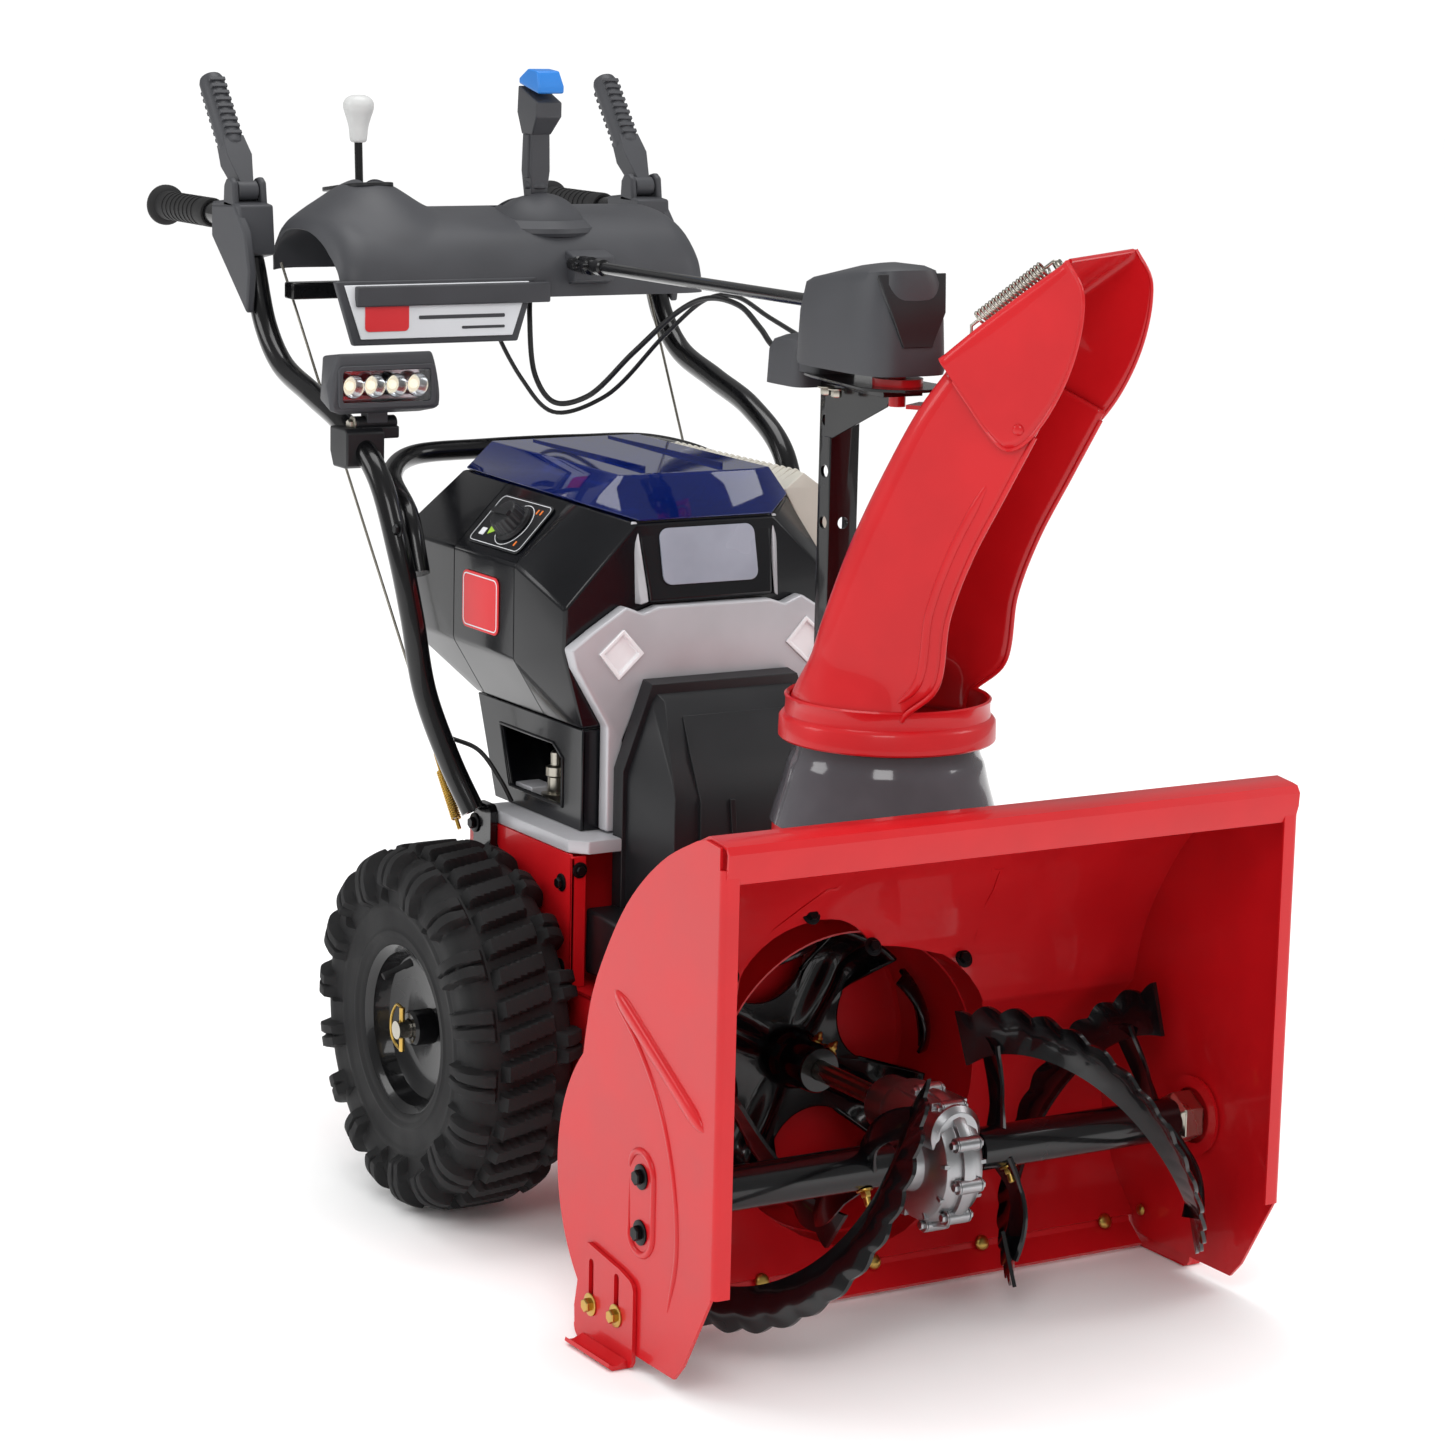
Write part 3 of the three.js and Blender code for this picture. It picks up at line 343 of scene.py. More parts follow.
def ridge(path, width, height, x, out):
    """A low rounded rib on a plate at x: half an ellipse carried along a path of (y, z)."""
    half = np.linspace(0, np.pi, 9)
    line = np.column_stack([np.full(len(path), x), path])
    way = np.gradient(line, axis=0)
    way /= np.linalg.norm(way, axis=1)[:, None]
    side = np.cross(way, (out, 0, 0))
    fade = np.sin(np.linspace(0, np.pi, len(path))).clip(0, 0.35) / 0.35
    taper = (fade ** 0.5)[:, None, None]
    points = line[:, None] + side[:, None] * (np.cos(half) * width / 2)[:, None] * taper
    points = points + np.array((out, 0, 0)) * (np.sin(half) * height)[:,
        None] * taper - np.array((out, 0, 0)) * 0.3
    return grid(points, wrap_columns=True)


def stadium(y, z, half_height, radius, steps=18):
    """The outline of a slot with round ends."""
    return np.vstack([arc(y, z + half_height, radius, 0, 180, steps),
        arc(y, z - half_height, radius, 180, 360, steps)])


for side, word in ((-1, "right"), (1, "left")):
    skin = prism(plate_outline, side * (SIDE - 3), side * SIDE)
    corner = np.radians(np.linspace(0, 90, 8))
    fold = [(side * SIDE, -660.9)]
    fold += [(side * (SIDE - 6 + 6 * np.cos(a)), -661 - 6 * np.sin(a)) for a in corner]
    fold += [(side * (SIDE - 17), -667), (side * (SIDE - 17), -664.4)]
    fold += [(side * (SIDE - 6 + 3 * np.cos(a)), -661 - 3 * np.sin(a))
        for a in corner[::-1]] + [(side * (SIDE - 3), -660.9)]
    edge = prism(fold, 108, 500, "z")
    ribs = [
        ridge(smooth_path([(-479, 350), (-560, 305), (-644, 258)], 30), 17, 5, side * SIDE, side),
        ridge(smooth_path([(-478, 340), (-520, 312), (-565, 262), (-592, 200), (-600, 130), (-585, 70)], 60), 6,
        2.2, side * SIDE, side),
        ridge(np.vstack([stadium(-535, 162, 27, 22), stadium(-535, 162, 27, 22)[:1]]), 7, 3, side * SIDE, side),
    ]
    piece("side_plate_" + word, "machine", [skin, edge, *ribs], red_enamel,
        ["side_plate_" + word], bevel=0.9)
    # Inside, each plate carries the auger's bearing: a red pressed cup round a zinc hexagon bush.
    cup = turned([(0, 40), (4, 39), (6, 34), (5, 29), (0, 28)], (side * (SIDE - 9.2), AUGER_Y, AUGER_Z), "x",
        48, closed=True)
    piece("bearing_cup_" + word, "machine", [cup], red_enamel)

# ---- Fasteners of the intake --------------------------------------------------------------------
# Black oxide hexagon bolts hold the drum flange, zinc-plated carriage bolts the scraper, skids and shafts.
black_oxide = finish_of("black_oxide_steel", "#17181A", {"Roughness": 0.38, "Metallic": 0.7}, grain_mm=1.5,
    bump=0.03)
zinc_gold = finish_of("yellow_zinc_plate", "#C8A658", {"Roughness": 0.3, "Metallic": 1.0}, grain_mm=1.2,
    bump=0.04, mottle=0.2)


def towards(part, way, at):
    """A part built along +z about the origin, turned to point along a direction and put in place."""
    turn = np.array(Vector((0, 0, 1)).rotation_difference(Vector(way)).to_matrix())
    return part[0] @ turn.T + np.array(at, float), part[1]


def hexagon(at, way, across=11, height=5):
    """A washer with a chamfered six-sided head on it."""
    a = np.radians(np.arange(0, 360, 60))
    levels = [(0.0, 0.96), (0.4, 1.0), (height - 1.2, 1.0), (height, 0.86)]
    rings = np.stack([np.column_stack([np.cos(a) * across / 1.73 * r, np.sin(a) * across / 1.73 * r,
        np.full(6, z + 1.4)]) for z, r in levels])
    washer = turned([(0, 0), (0, across * 0.92), (1.2, across * 0.92), (1.6, across * 0.84), (1.6, 0)],
        (0, 0, 0), "z", 24)
    return [towards(washer, way, at), towards(grid(rings, wrap_columns=True, caps=True), way, at)]


def dome(at, way, radius=7, height=3.5):
    """A carriage bolt's low round head: a quarter of an ellipse turned round the axis."""
    a = np.linspace(0, np.pi / 2, 7)
    profile = np.column_stack([height * np.sin(a), radius * np.cos(a)])
    return [towards(turned(np.vstack([[(0, 0)], profile]), (0, 0, 0), "z", 24), way, at)]


flange_bolts = []
for x, y, z in ((-103, -468, 395), (-22, -452, 352), (94, -437.5, 324), (-174, -441, 338)):
    flange_bolts += hexagon((x, y - 3.6, z), (0, -0.86, 0.5), across=10, height=4.5)
for side in (-1, 1):
    for z in (187, 134):
        flange_bolts += hexagon((side * (SIDE + 0.4), -535, z), (side, 0, 0), across=13, height=6)
piece("housing_bolts", "machine", flange_bolts, black_oxide)
scraper_bolts = []
for x in (-279, -128, 0, 128, 279):
    scraper_bolts += dome((x, -441, 29), (0, -0.93, 0.36), 8, 4)
scraper_bolts += dome((310, -459, 42), (-1, 0, 0), 6, 4)
for side in (-1, 1):
    hexagon_bush = turned([(0, 0), (0, 24), (3, 27), (24, 27), (28, 22), (28, 0)], (0, 0, 0), "z", 6)
    scraper_bolts += [towards(hexagon_bush, (-side, 0, 0), (side * (SIDE - 9), AUGER_Y, AUGER_Z))]
bright_zinc = finish_of("bright_zinc_plate", "#B9B4A8", {"Roughness": 0.28, "Metallic": 1.0}, grain_mm=1.2,
    bump=0.04, mottle=0.12)
piece("scraper_bolts", "machine", scraper_bolts[:-2], zinc_gold)
piece("bearing_bushes", "machine", scraper_bolts[-2:], bright_zinc, bevel=1.0)

# ---- Skids --------------------------------------------------------------------------------------
# Pressed steel shoes on the foot of each side plate, enamelled red, slotted so that two bolts set their height.
for side, word in ((-1, "right"), (1, "left")):
    x_in, x_out = side * (SIDE + 0.4), side * (SIDE + 4.4)
    face = np.vstack([[(-527, 2), (-531, 8), (-531, 62)], arc(-519, 74, 12, 180, 100, 7), [(-505, 90)],
                      arc(-446, 84, 14, 90, 20, 7), [(-420, 30), (-421, 14)], arc(-432, 12, 12, 0, -80, 6)])
    shoe = prism(face, x_in, x_out)
    curl = [(x_in, 0), (x_in + side * 14, 0), (side * 338, 0), (side * 342, 3.5), (side * 341, 7),
        (side * 337, 4.2), (x_in + side * 14, 4.1), (x_in + side * 4.5, 8)]
    foot = prism(curl, -522, -438, "y")
    tab = prism([(x_in, 90), (side * 332, 91), (side * 333, 95), (side * 330, 96), (x_in, 94)], -500, -444, "y")
    skid = piece("skid_shoe_" + word, "skid_" + word, [shoe, foot, tab], red_enamel,
        ["skid_" + word])
    carved(skid, [prism(stadium(y, 62, 18, 4.5), side * 310, side * 330) for y in (-500, -452)])
    nuts = []
    for y in (-500, -452):
        nuts += hexagon((side * (SIDE + 4.6), y, 44 if y < -480 else 40), (side, 0, 0), across=12, height=6)
    piece("skid_bolts_" + word, "machine", nuts, zinc_gold)

# ---- Auger rakes --------------------------------------------------------------------------------
# Two ribbons of 4.4 mm steel plate a side wind round the auger shaft, saw-toothed on their outer edge so that
# they bite into packed snow, and stand on bent arms. Dipped in gloss black.
black_enamel = finish_of("black_gloss_enamel", "#09090B", {
    "Roughness": 0.25, "Specular IOR Level": 0.3, "Coat Weight": 0.5, "Coat Roughness": 0.06}, grain_mm=3,
    bump=0.05, mottle=0.2)


def ribbon(side, phase, twist=186, start=62, end=290):
    """A helical band: at t its angle is phase + twist t and its x start + (end - start) t. Across it, v runs
    from the smooth inner edge to the toothed outer one, with a shallow channel pressed along the middle."""
    t = np.linspace(0, 1, 150)[:, None]
    v = np.linspace(0, 1, 12)[None, :]
    angle = np.radians(phase + twist * t)
    tooth = 9 * (1 - np.abs(((t * 15) % 1) * 2 - 1)) ** 1.6 * (0.45 + 0.55 * np.abs(t - 0.5) * 2)
    end_flare = 5 * (np.abs(t - 0.5) * 2) ** 6
    inner, outer = 91 - end_flare * 2, 135 - tooth
    r = inner + (outer - inner) * v
    bow = 8 * np.sin(np.pi * v) * np.sin(np.pi * t).clip(0, 0.4) / 0.4
    x = start + (end - start) * t + bow
    top = np.stack([side * (x + 2.2), AUGER_Y + r * np.cos(angle), AUGER_Z + r * np.sin(angle)], -1)
    low = np.stack([side * (x - 2.2), AUGER_Y + r * np.cos(angle), AUGER_Z + r * np.sin(angle)], -1)
    return grid(np.concatenate([top, low[:, ::-1]], 1), wrap_columns=True, caps=True)


def arm(side, x, degrees, lean):
    """A bent flat arm from the sleeve to the ribbon, swept sideways as it goes out."""
    r = np.linspace(14, 104, 14)
    a = np.radians(degrees + lean * ((r - 14) / 90) ** 2)
    path = np.column_stack([side * (x + 10 * np.sin(np.pi * (r - 14) / 90)), AUGER_Y + r * np.cos(a),
        AUGER_Z + r * np.sin(a)])
    width = np.interp(r, [14, 40, 104], [1.25, 0.85, 1.2])
    section = np.array([(-13, -1.5), (-11, -3), (0, -1.5), (11, -3), (13, -1.5), (13, 1), (11, 1.5), (0, 3),
        (-11, 1.5), (-13, 1)])
    return swept(path, section, up=(side, 0.01, 0), scale=width)


RAKE_PHASE = {-1: 128, 1: 65}
for side, word in ((-1, "right"), (1, "left")):
    parts = [turned([(side * 50, 17.6), (side * 50, 21), (side * 298, 21), (side * 298, 17.6)],
        (0, AUGER_Y, AUGER_Z), "x", 40)]
    for phase in (RAKE_PHASE[side], RAKE_PHASE[side] + 180):
        parts.append(ribbon(side, phase))
        parts += [arm(side, 62 + 228 * t, phase + 186 * t - 14, 14) for t in (0.07, 0.9)]
    piece("rake_ribbons_" + word, "auger", parts, black_enamel, ["rake_" + word], crease=40)
    pins = []
    for x, way in ((82, (0, -0.5, -0.86)), (242, (0, 0.1, 0.99))):
        axis = Vector(way).normalized()
        pins += hexagon(np.array((side * x, AUGER_Y, AUGER_Z)) + np.array(axis) * 21, axis, across=9, height=6)
        pins += [towards(turned([(0, 0), (0, 3.4), (16, 3.4), (17, 2.6), (17, 0)], (0, 0, 0), "z", 14), axis,
            np.array((side * x, AUGER_Y, AUGER_Z)) + np.array(axis) * 20)]
    piece("shear_bolts_" + word, "auger", pins, zinc_gold)

# ---- Auger gearbox ------------------------------------------------------------------------------
# Two die-cast aluminium halves bolted together round the worm wheel, with the worm's barrel behind. Cast skin,
# blasted bright, with ribs and bolt bosses round the joint.
cast_aluminium = finish_of("cast_aluminium", "#B4B5B7", {"Roughness": 0.36, "Metallic": 1.0}, grain_mm=1.6,
    bump=0.25, mottle=0.15)
GEAR = (0, AUGER_Y, AUGER_Z)
case = [
    turned([(-37, 17), (-37, 27), (-27, 29), (-24, 50), (-20, 57), (-12, 60.5), (-7, 61), (-6.5, 66), (0, 67.5),
    (6.5, 66), (7, 61),
            (12, 60.5), (20, 57), (24, 50), (27, 29), (37, 27), (37, 17)], GEAR, "x", 72),
    turned([(-452, 11), (-452, 24), (-458, 28), (-486, 29), (-492, 33), (-500, 34), (-530, 32), (-574, 28),
    (-579, 22), (-579, 0)],
           (0, 0, DRUM_Z), "y", 48),
    block((-20, 20), (-562, -498), (190, 224)),
]
for degrees in np.arange(10, 360, 36):
    a = np.radians(degrees)
    at = np.array((0, AUGER_Y + 64 * np.cos(a), AUGER_Z + 64 * np.sin(a)))
    case.append(turned([(-12, 0), (-12, 6), (-11, 7.5), (11, 7.5), (12, 6), (12, 0)], at, "x", 20))
    case += hexagon(at - (12, 0, 0), (-1, 0, 0), across=8, height=4) + hexagon(at + (12, 0, 0), (1, 0, 0),
        across=8, height=4)
for degrees in np.arange(28, 360, 36):
    a = np.radians(degrees)
    spoke = block((-23.5, 23.5), (-2, 2), (26, 58))
    case.append(moved(moved(spoke, turn_about=(1, 0, 0), degrees=degrees - 90), GEAR))
piece("gearbox_case", "machine", case, cast_aluminium, ["auger_gearbox"], bevel=0.8)

# ---- Impeller -----------------------------------------------------------------------------------
# A four-armed steel pressing: the gaps between the arms are round, each arm has a raised rib, and its
# end is hooked forward to scoop the snow. Welded to a hub with two grease fittings, dipped in gloss black.
def impeller_plate():
    """Polar grid: angle a, and radius from the hub to an edge that is the nearer of the rim and a round gap
    midway between two arms. The plate's depth rises in a smooth rib along the middle of each arm."""
    a = np.radians(np.linspace(0, 360, 241)[:-1])[:, None]
    gap = (np.degrees(a) - 62) % 90 - 45
    reach, hole = 116, 53
    bend = np.radians(gap)
    inside = hole**2 - (reach * np.sin(bend)) ** 2
    near = reach * np.cos(bend) - np.sqrt(np.maximum(inside, 0))
    edge = np.where(inside > 0, near, 139.0)
    u = np.linspace(0, 1, 26)[None, :]
    r = 22 + (edge - 22) * u
    from_arm = 45 - np.abs(gap)
    rib = 13 * np.exp(-((from_arm * r / 60 / 9) ** 2)) * np.sin(np.pi * ((r - 20) / 125).clip(0, 1)) ** 0.7
    hook = 46 * ((r - 98) / 41).clip(0, 1) ** 2.2
    return grid(np.stack([r * np.cos(a), -270 - rib - hook, DRUM_Z + r * np.sin(a)], -1), wrap_rows=True)


def scoop(degrees):
    """The hooked end of an arm: a curved wall that follows the rim and leans in towards the hub as it comes
    forward."""
    a = np.radians(degrees + np.linspace(-17, 19, 22))[:, None]
    v = np.linspace(0, 1, 12)[None, :]
    r = 140 + 3 * np.sin(np.pi * v) - 16 * v**3
    y = -300 - 36 * v * np.sin(np.pi * np.linspace(0.12, 0.95, 22))[:, None] ** 0.5
    return grid(np.stack([r * np.cos(a), y, DRUM_Z + r * np.sin(a)], -1))


piece("impeller_blades", "impeller_set", [impeller_plate(), *[scoop(17 + 90 * k) for k in range(4)]],
              black_enamel, ["impeller"], crease=50, thick=4)
hub = [turned([(-262, 10.6), (-262, 30), (-268, 33), (-290, 30), (-296, 25), (-330, 24), (-333, 22),
    (-333, 10.6)], (0, 0, DRUM_Z), "y", 48)]
piece("impeller_hub", "impeller_set", hub, black_enamel)
greasers = []
for y, degrees in ((-306, 60), (-322, 42)):
    a = np.radians(degrees)
    way = (np.cos(a), 0, np.sin(a))
    greasers += hexagon(np.array((0, y, DRUM_Z)) + 24 * np.array(way), way, across=9, height=5)
    greasers += dome(np.array((0, y, DRUM_Z)) + 30 * np.array(way), way, 3, 6)
piece("impeller_greasers", "impeller_set", greasers, zinc_gold)

# ---- Tyres --------------------------------------------------------------------------------------
# Tubeless 15 x 5 snow tyres: a round casing with deep staggered blocks that wrap over the shoulders,
# moulded in matt black rubber that greys slightly where it is handled.
tyre_rubber = finish_of("tyre_rubber", "#1B1B1C", {"Roughness": 0.72, "Specular IOR Level": 0.35}, grain_mm=2.0,
    bump=0.3, mottle=0.25, rough_swing=0.2)
WHEEL_X, WHEEL_Z = 245, 190.5
casing = smooth_path([(47, 84), (53, 90), (55, 100), (55.5, 118), (57, 140), (57.5, 158), (52, 170),
    (36, 176.5), (0, 178),
                      (-36, 176.5), (-52, 170), (-57.5, 158), (-57, 140), (-55.5, 118), (-55, 100), (-53, 90),
                      (-47, 84)], 110)


def step(edge0, edge1, x):
    """Smooth step: 0 below edge0, 1 above edge1, 3 t^2 - 2 t^3 between."""
    t = ((x - edge0) / (edge1 - edge0)).clip(0, 1)
    return t * t * (3 - 2 * t)


def tyre(side):
    """The casing turned round the axle, pushed out along its normal by staggered blocks: a centre pair that
    zigzags and shoulder lugs that reach down the side wall, each with a narrow sipe."""
    blocks = 18
    a = np.linspace(0, 2 * np.pi, 540, endpoint=False)[:, None]
    across = np.linspace(-1, 1, len(casing))[None, :]
    phase = a * blocks / (2 * np.pi)
    s, r = casing[:, 0], casing[:, 1]
    way = np.gradient(casing, axis=0)
    normal = np.stack([-way[:, 1], way[:, 0]], -1) / np.linalg.norm(way, axis=1)[:, None]
    normal *= np.where(normal[len(normal) // 2, 1] > 0, 1, -1)
    half = np.abs(across)
    turn = (phase + 0.5 * (across > 0) + 0.22 * half) % 1
    in_lug = step(0.06, 0.12, turn) * (1 - step(0.55, 0.61, turn))
    sipe = 1 - 0.45 * step(0.30, 0.33, turn) * (1 - step(0.35, 0.38, turn))
    shoulder = step(0.235, 0.26,
        half) * (1 - step(0.50 + 0.10 * (np.floor(phase + 0.5 * (across > 0)) % 2),
        0.56 + 0.10 * (np.floor(phase + 0.5 * (across > 0)) % 2), half))
    middle_turn = (phase + 0.25 + 0.55 * across) % 0.5 * 2
    middle = step(0.08, 0.16,
        middle_turn) * (1 - step(0.66, 0.74, middle_turn)) * (1 - step(0.185, 0.205, half))
    wall_ring = 1.2 * step(0.66, 0.67, half) * (1 - step(0.70, 0.71, half)) + 1.4 * step(0.84, 0.85,
        half) * (1 - step(0.88, 0.89, half))
    lift = 11.5 * np.maximum(in_lug * shoulder * sipe, middle) + wall_ring
    point = np.stack([s + normal[:, 0] * lift, r + normal[:, 1] * lift], -1)
    radius = np.minimum(point[..., 1], 190.2)
    points = np.stack([side * WHEEL_X + side * point[..., 0], radius * np.cos(a), WHEEL_Z + radius * np.sin(a)],
        -1)
    return grid(points, wrap_rows=True, wrap_columns=True)


# ---- Rims ---------------------------------------------------------------------------------------
# Deep-dished pressed steel rims on a welded hub tube, gloss black, held to the axle by a klik pin.
dish = [(44, 10.5), (44, 16), (41, 18.5), (19, 18.5), (18, 24), (20, 50), (22, 62), (30, 74), (40, 78),
    (46, 79.5), (50, 84), (52, 87.5), (51, 88.8),
        (47.5, 88.8), (46.5, 85), (44, 83.6), (-44, 83.6), (-46.5, 85), (-47.5, 88.8), (-51, 88.8), (-52, 87.5),
        (-48, 78), (-20, 74), (10, 66), (14, 50),
        (13, 24), (12, 18.5), (-44, 18.5), (-44, 10.5)]
for side, word in ((-1, "right"), (1, "left")):
    piece("snow_tyre_" + word, "wheels", [tyre(side)], tyre_rubber, ["tyre_" + word], crease=30)
    rim = turned([(side * s, r) for s, r in dish], (side * WHEEL_X, 0, WHEEL_Z), "x", 96, closed=True)
    piece("wheel_rim_" + word, "wheels", [rim], black_enamel, ["rim_" + word], crease=30)
    outer = side * (WHEEL_X + 52)
    cross = turned([(-23, 0), (-23, 3), (23, 3), (23, 0)], (outer, 0, WHEEL_Z), "z", 14)
    loop = swept(smooth_path([(outer, 0, 213), (outer, 12, 214), (outer + side * 2, 20, 200),
        (outer + side * 2, 18, 178), (outer, 6, 169), (outer, 0, 170)], 30), circle(1.6, 8), up=(side, 0, 0))
    piece("klik_pin_" + word, "wheels", [cross, loop], zinc_gold)
    valve = moved(towards(turned([(0, 4.5), (8, 4), (10, 3), (26, 3), (27, 3.6), (34, 3.6), (34, 0)], (0, 0, 0),
        "z", 14), (side * 0.94, 0, -0.34), (side * (WHEEL_X + 42), 0, WHEEL_Z + 70)))
    piece("tyre_valve_" + word, "wheels", [valve], tyre_rubber)

# ---- Impeller drum ------------------------------------------------------------------------------
# The drum is a red steel can behind the mouth. The cone over its throat is a smoked moulding that carries the
# chute's ring, glossy enough to show the lights.
smoked_moulding = finish_of("smoked_polycarbonate", "#4A484D",
    {"Roughness": 0.14, "Coat Weight": 0.6, "Coat Roughness": 0.05}, grain_mm=6, bump=0.02, mottle=0.12)
black_moulding = finish_of("black_polypropylene", "#17181B", {"Roughness": 0.42}, grain_mm=0.9, bump=0.18,
    mottle=0.1)
liner = [(-380, 151), (-380, 152.7), (-248, 152.7), (-243.4, 149), (-243.4, 12), (-245, 12), (-245, 148),
    (-249, 151)]
piece("drum_liner", "machine", [turned(liner, (0, 0, DRUM_Z), "y", 96, closed=True)], red_enamel)
CHUTE_Y, CHUTE_TURN, CHUTE_HALF = -435, 33, 82
cone = smooth_path([(470.6, 110), (486, 106), (510, 99), (530, 94), (536, 91), (551, 87)], 24)
cone = np.vstack([cone, (cone - (0, 3))[::-1]])
collar = piece("chute_collar", "machine", [turned(cone, (0, CHUTE_Y, 0), "z", 96, closed=True)],
    smoked_moulding, ["chute_base"])
room = np.vstack([wrap + 0.8, [(-700, 32), (-700, 487)]])
carved(collar, [prism(room, -330, 330)])

# ---- Chute --------------------------------------------------------------------------------------
# A deep channel of 2.5 mm sheet with generously rounded back corners, ribbed along its open edges and welded
# to a rolled ring that turns on the collar. Red enamel inside and out.
def aimed(part):
    """A part laid out straight ahead about the chute's axis, turned to where the chute stands at rest."""
    return moved(moved(part, turn_about=(0, 0, 1), degrees=CHUTE_TURN), (0, CHUTE_Y, 0))


CHUTE_BACK = smooth_path([(66, 566), (68, 591), (56, 639), (43, 678), (16, 747), (-20, 820), (-52, 876),
    (-79, 912)], 70)
CHUTE_FRONT = smooth_path([(-46, 566), (-52, 588), (-84, 619), (-94, 686), (-114, 743), (-145, 805),
    (-177, 868)], 70)


def channel():
    """Rows climb the chute, columns run round its U: down one side wall, round a corner whose radius shrinks
    from 46 to 18 mm, across the back and out again. The lowest rows are drawn out to the ring's circle."""
    s = np.linspace(0, 1, 70)[:, None]
    rc = 46 - 28 * s
    depth = np.linalg.norm(CHUTE_FRONT - CHUTE_BACK, axis=1)[:, None]
    phi = np.linspace(0, np.pi / 2, 10)[None, :]
    wall = np.linspace(0, 1, 14)[None, 1:]
    lateral = np.concatenate([(CHUTE_HALF - rc) * np.linspace(0, 1, 5)[None, :-1],
        CHUTE_HALF - rc + rc * np.sin(phi), np.full((70, 13), CHUTE_HALF)], 1)
    inward = np.concatenate([np.zeros((70, 4)), rc * (1 - np.cos(phi)), rc + (depth - rc) * wall], 1)
    lateral = np.concatenate([-lateral[:, :0:-1], lateral], 1)
    inward = np.concatenate([inward[:, :0:-1], inward], 1)
    yz = CHUTE_BACK[:, None] + (inward / depth)[..., None] * (CHUTE_FRONT - CHUTE_BACK)[:, None]
    y, z = yz[..., 0], yz[..., 1]
    r = np.hypot(lateral, y)
    draw = 1 - step(0.02, 0.2, s)
    return grid(np.stack([lateral * (1 + draw * (94 / r - 1)), y * (1 + draw * (94 / r - 1)), z], -1))


ring = [(551.8, 98), (551.8, 102.5), (553.5, 104), (571, 103.6), (574, 101.5), (576, 98.5), (582, 97.8),
    (588, 97.8), (592, 99), (593.5, 97), (591.5, 94.2), (578, 94.2), (572, 96), (556, 97)]
piece("chute_channel", "chute", [aimed(channel())], red_enamel, ["chute"], thick=2.5, crease=30)
trims = [turned(ring, (0, CHUTE_Y, 0), "z", 110, closed=True)]
for side in (-1, 1):
    edge = np.column_stack([np.full(64, side * (CHUTE_HALF + 0.6)), CHUTE_FRONT[4:68]])
    trims.append(aimed(swept(edge, circle(2.6, 10), up=(1, 0, 0.01))))
    way = CHUTE_FRONT - CHUTE_BACK
    inner = CHUTE_FRONT - way / np.linalg.norm(way, axis=1)[:, None] * 19
    rib = ridge(inner[8:56], 9, 2.4, side * (CHUTE_HALF + 1.2), side)
    trims.append(aimed(rib))
trims.append(aimed(prism([(-16, 872), (-16, 868), (-62, 868), (-62, 872)][::-1], -16, 16)))
trims.append(turned([(868, 0), (868, 8), (888, 8), (888, 24), (895, 24), (895, 8), (902, 8), (902, 0)],
    (0, CHUTE_Y, 0), "z", 40))
piece("chute_ring", "chute", trims, red_enamel, crease=40)

# ---- Deflector ----------------------------------------------------------------------------------
# A hood hinged on the chute's back edge, with broad rounded cheeks outside the chute's walls. A zinc spring
# on its back lifts it again when the cable slackens.
hood_top = smooth_path([(-77, 924), (-120, 960), (-160, 991), (-199, 1020)], 60)
hood_low = smooth_path([(-84, 917), (-108, 887), (-132, 858), (-147, 847), (-161, 851), (-180, 872),
    (-199, 906), (-211, 941), (-216, 975), (-214, 996), (-199, 1020)], 60)


def hood():
    """Rows follow the panel from its hinge to its tip. Columns run up one cheek, over a corner of 9 mm and
    across."""
    drop = hood_low - hood_top
    reach = np.linalg.norm(drop, axis=1)[:, None]
    rc = np.minimum(9, reach * 0.5)
    phi = np.linspace(0, np.pi / 2, 7)[None, :]
    half = CHUTE_HALF + 6
    lateral = np.concatenate([(half - rc) * np.linspace(0, 1, 6)[None, :-1], half - rc + rc * np.sin(phi),
        np.full((60, 12), half)], 1)
    down = np.concatenate([np.zeros((60, 5)), rc * (1 - np.cos(phi)),
        rc + (reach - rc) * np.linspace(0, 1, 13)[None, 1:]], 1)
    lateral = np.concatenate([-lateral[:, :0:-1], lateral], 1)
    down = np.concatenate([down[:, :0:-1], down], 1)
    yz = hood_top[:, None] + (down / np.maximum(reach, 1e-6))[..., None] * drop[:, None]
    return grid(np.stack([lateral, yz[..., 0], yz[..., 1]], -1))


piece("deflector_hood", "deflector", [aimed(hood())], red_enamel, ["deflector"], thick=2.4,
    crease=40)
hood_trim = []
for side in (-1, 1):
    brim = np.column_stack([np.full(57, side * (CHUTE_HALF + 6)), hood_low[3:]])
    hood_trim.append(aimed(swept(brim, circle(1.9, 8), up=(1, 0, 0.01))))
    hood_trim += [aimed(p) for p in dome((side * (CHUTE_HALF + 7), -159, 866), (side, 0, 0), 5.5, 3)]
hood_trim.append(aimed(swept(np.column_stack([np.linspace(-80, 80, 12), np.full(12, -199),
    np.full(12, 1019.4)]), circle(2.2, 10))))
piece("deflector_brim", "deflector", hood_trim, red_enamel)
t = np.linspace(0, 1, 520)[:, None]
start, stop = np.array((-66, -108, 961)), np.array((-66, -170, 1011))
way = (stop - start) / np.linalg.norm(stop - start)
out_1, out_2 = np.array((1.0, 0, 0)), np.cross(way, (1.0, 0, 0))
coil = start + (stop - start) * t + 7 * (np.cos(2 * np.pi * 19 * t) * out_1 + np.sin(2 * np.pi * 19 * t) * out_2)
spring_parts = [aimed(swept(coil, circle(1.3, 6), up=way))]
